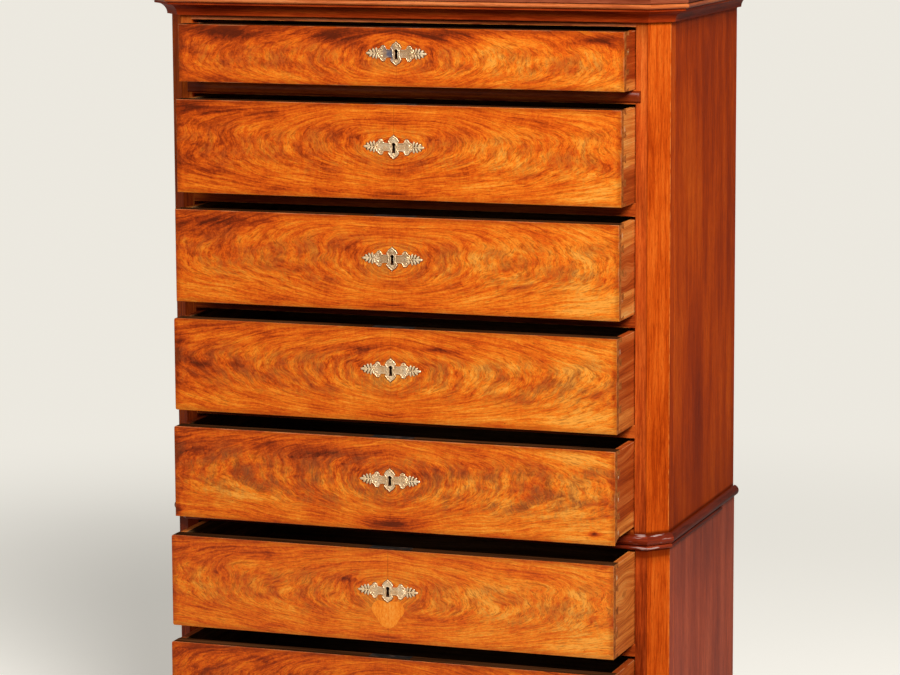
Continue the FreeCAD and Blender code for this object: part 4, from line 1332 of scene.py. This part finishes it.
def paleGround(name):
    material, tree, shader = newFinish(name)
    setSockets(shader, {"Base Color": (*studio["bounce"], 1.0), "Roughness": 0.9, "Specular IOR Level": 0.0})
    glow = lit(tree, "Emission", "pale", Strength=studio["glow"])
    near = put("AddShader", {0: lit(tree, "BsdfDiffuse", "ground"), 1: glow}).outputs[0]
    distance = put("VectorMath", {0: objectPlace(tree)}, operation="LENGTH").outputs["Value"]
    away = step(distance, studio["near"], studio["far"])
    pale = mixShaders(away, near, lit(tree, "Emission", "pale", Strength=1.0))
    surface = mixShaders(paleRays(tree), shader.outputs[0], pale)
    setSockets(tree.nodes["Material Output"], {"Surface": surface})
    return material


bm = bmesh.new()
bmesh.ops.create_circle(bm, cap_ends=True, segments=studio["floorSegments"], radius=studio["floorRadius"])
ground = bpy.data.meshes.new("studio_floor")
bm.to_mesh(ground)
bm.free()
ground.materials.append(paleGround("paleFloor"))
floor = bpy.data.objects.new("studio_floor", ground)
bpy.context.scene.collection.objects.link(floor)

world = bpy.data.worlds.new("studio_air")
world.use_nodes = True
bpy.context.scene.world = world
tree = world.node_tree
air = lit(tree, "Background", "air", Strength=studio["ambient"])
surround = mixShaders(paleRays(tree), air, lit(tree, "Background", "pale", Strength=1.0))
worldOutput = [n for n in tree.nodes if n.type == "OUTPUT_WORLD"][0]
setSockets(worldOutput, {"Surface": surround})

lamps = {
    "key": {"azimuth": 35, "elevation": 34, "distance": 5.5, "size": 2.2, "power": 318},
    "fill": {"azimuth": -30, "elevation": 20, "distance": 5.5, "size": 3.0, "power": 26},
}
aim = Vector((0.0, -0.1, 0.75))
for name, look in lamps.items():
    lamp = bpy.data.lights.new(name, "AREA")
    lamp.shape = "DISK"
    lamp.size = look["size"]
    lamp.energy = look["power"]
    side = math.radians(look["azimuth"])
    rise = math.radians(look["elevation"])
    towards = Vector((math.sin(side) * math.cos(rise), -math.cos(side) * math.cos(rise), math.sin(rise)))
    holder = bpy.data.objects.new(name, lamp)
    holder.location = aim + towards * look["distance"]
    holder.rotation_euler = towards.to_track_quat("Z", "Y").to_euler()
    bpy.context.scene.collection.objects.link(holder)

viewpoint = {"place": (1.989, -5.6996, 1.7107), "yaw": 19.33, "pitch": 8.87, "roll": -0.28, "lens": 137.63,
             "sensor": 36.0, "clip": 200.0}
yaw, pitch, roll = (math.radians(viewpoint[key]) for key in ("yaw", "pitch", "roll"))
ahead = Vector((-math.sin(yaw) * math.cos(pitch), math.cos(yaw) * math.cos(pitch), -math.sin(pitch)))
level = Vector((math.cos(yaw), math.sin(yaw), 0.0))
upright = level.cross(ahead)
right = level * math.cos(roll) + upright * math.sin(roll)
upward = upright * math.cos(roll) - level * math.sin(roll)
cameraData = bpy.data.cameras.new("photo_view")
cameraData.lens = viewpoint["lens"]
cameraData.sensor_width = viewpoint["sensor"]
cameraData.clip_end = viewpoint["clip"]
camera = bpy.data.objects.new("photo_view", cameraData)
aimed = Matrix((right, upward, -ahead)).transposed().to_4x4()
camera.matrix_world = Matrix.Translation(viewpoint["place"]) @ aimed
bpy.context.scene.collection.objects.link(camera)
bpy.context.scene.camera = camera
bpy.context.scene.view_settings.view_transform = "Standard"
print("stage set")
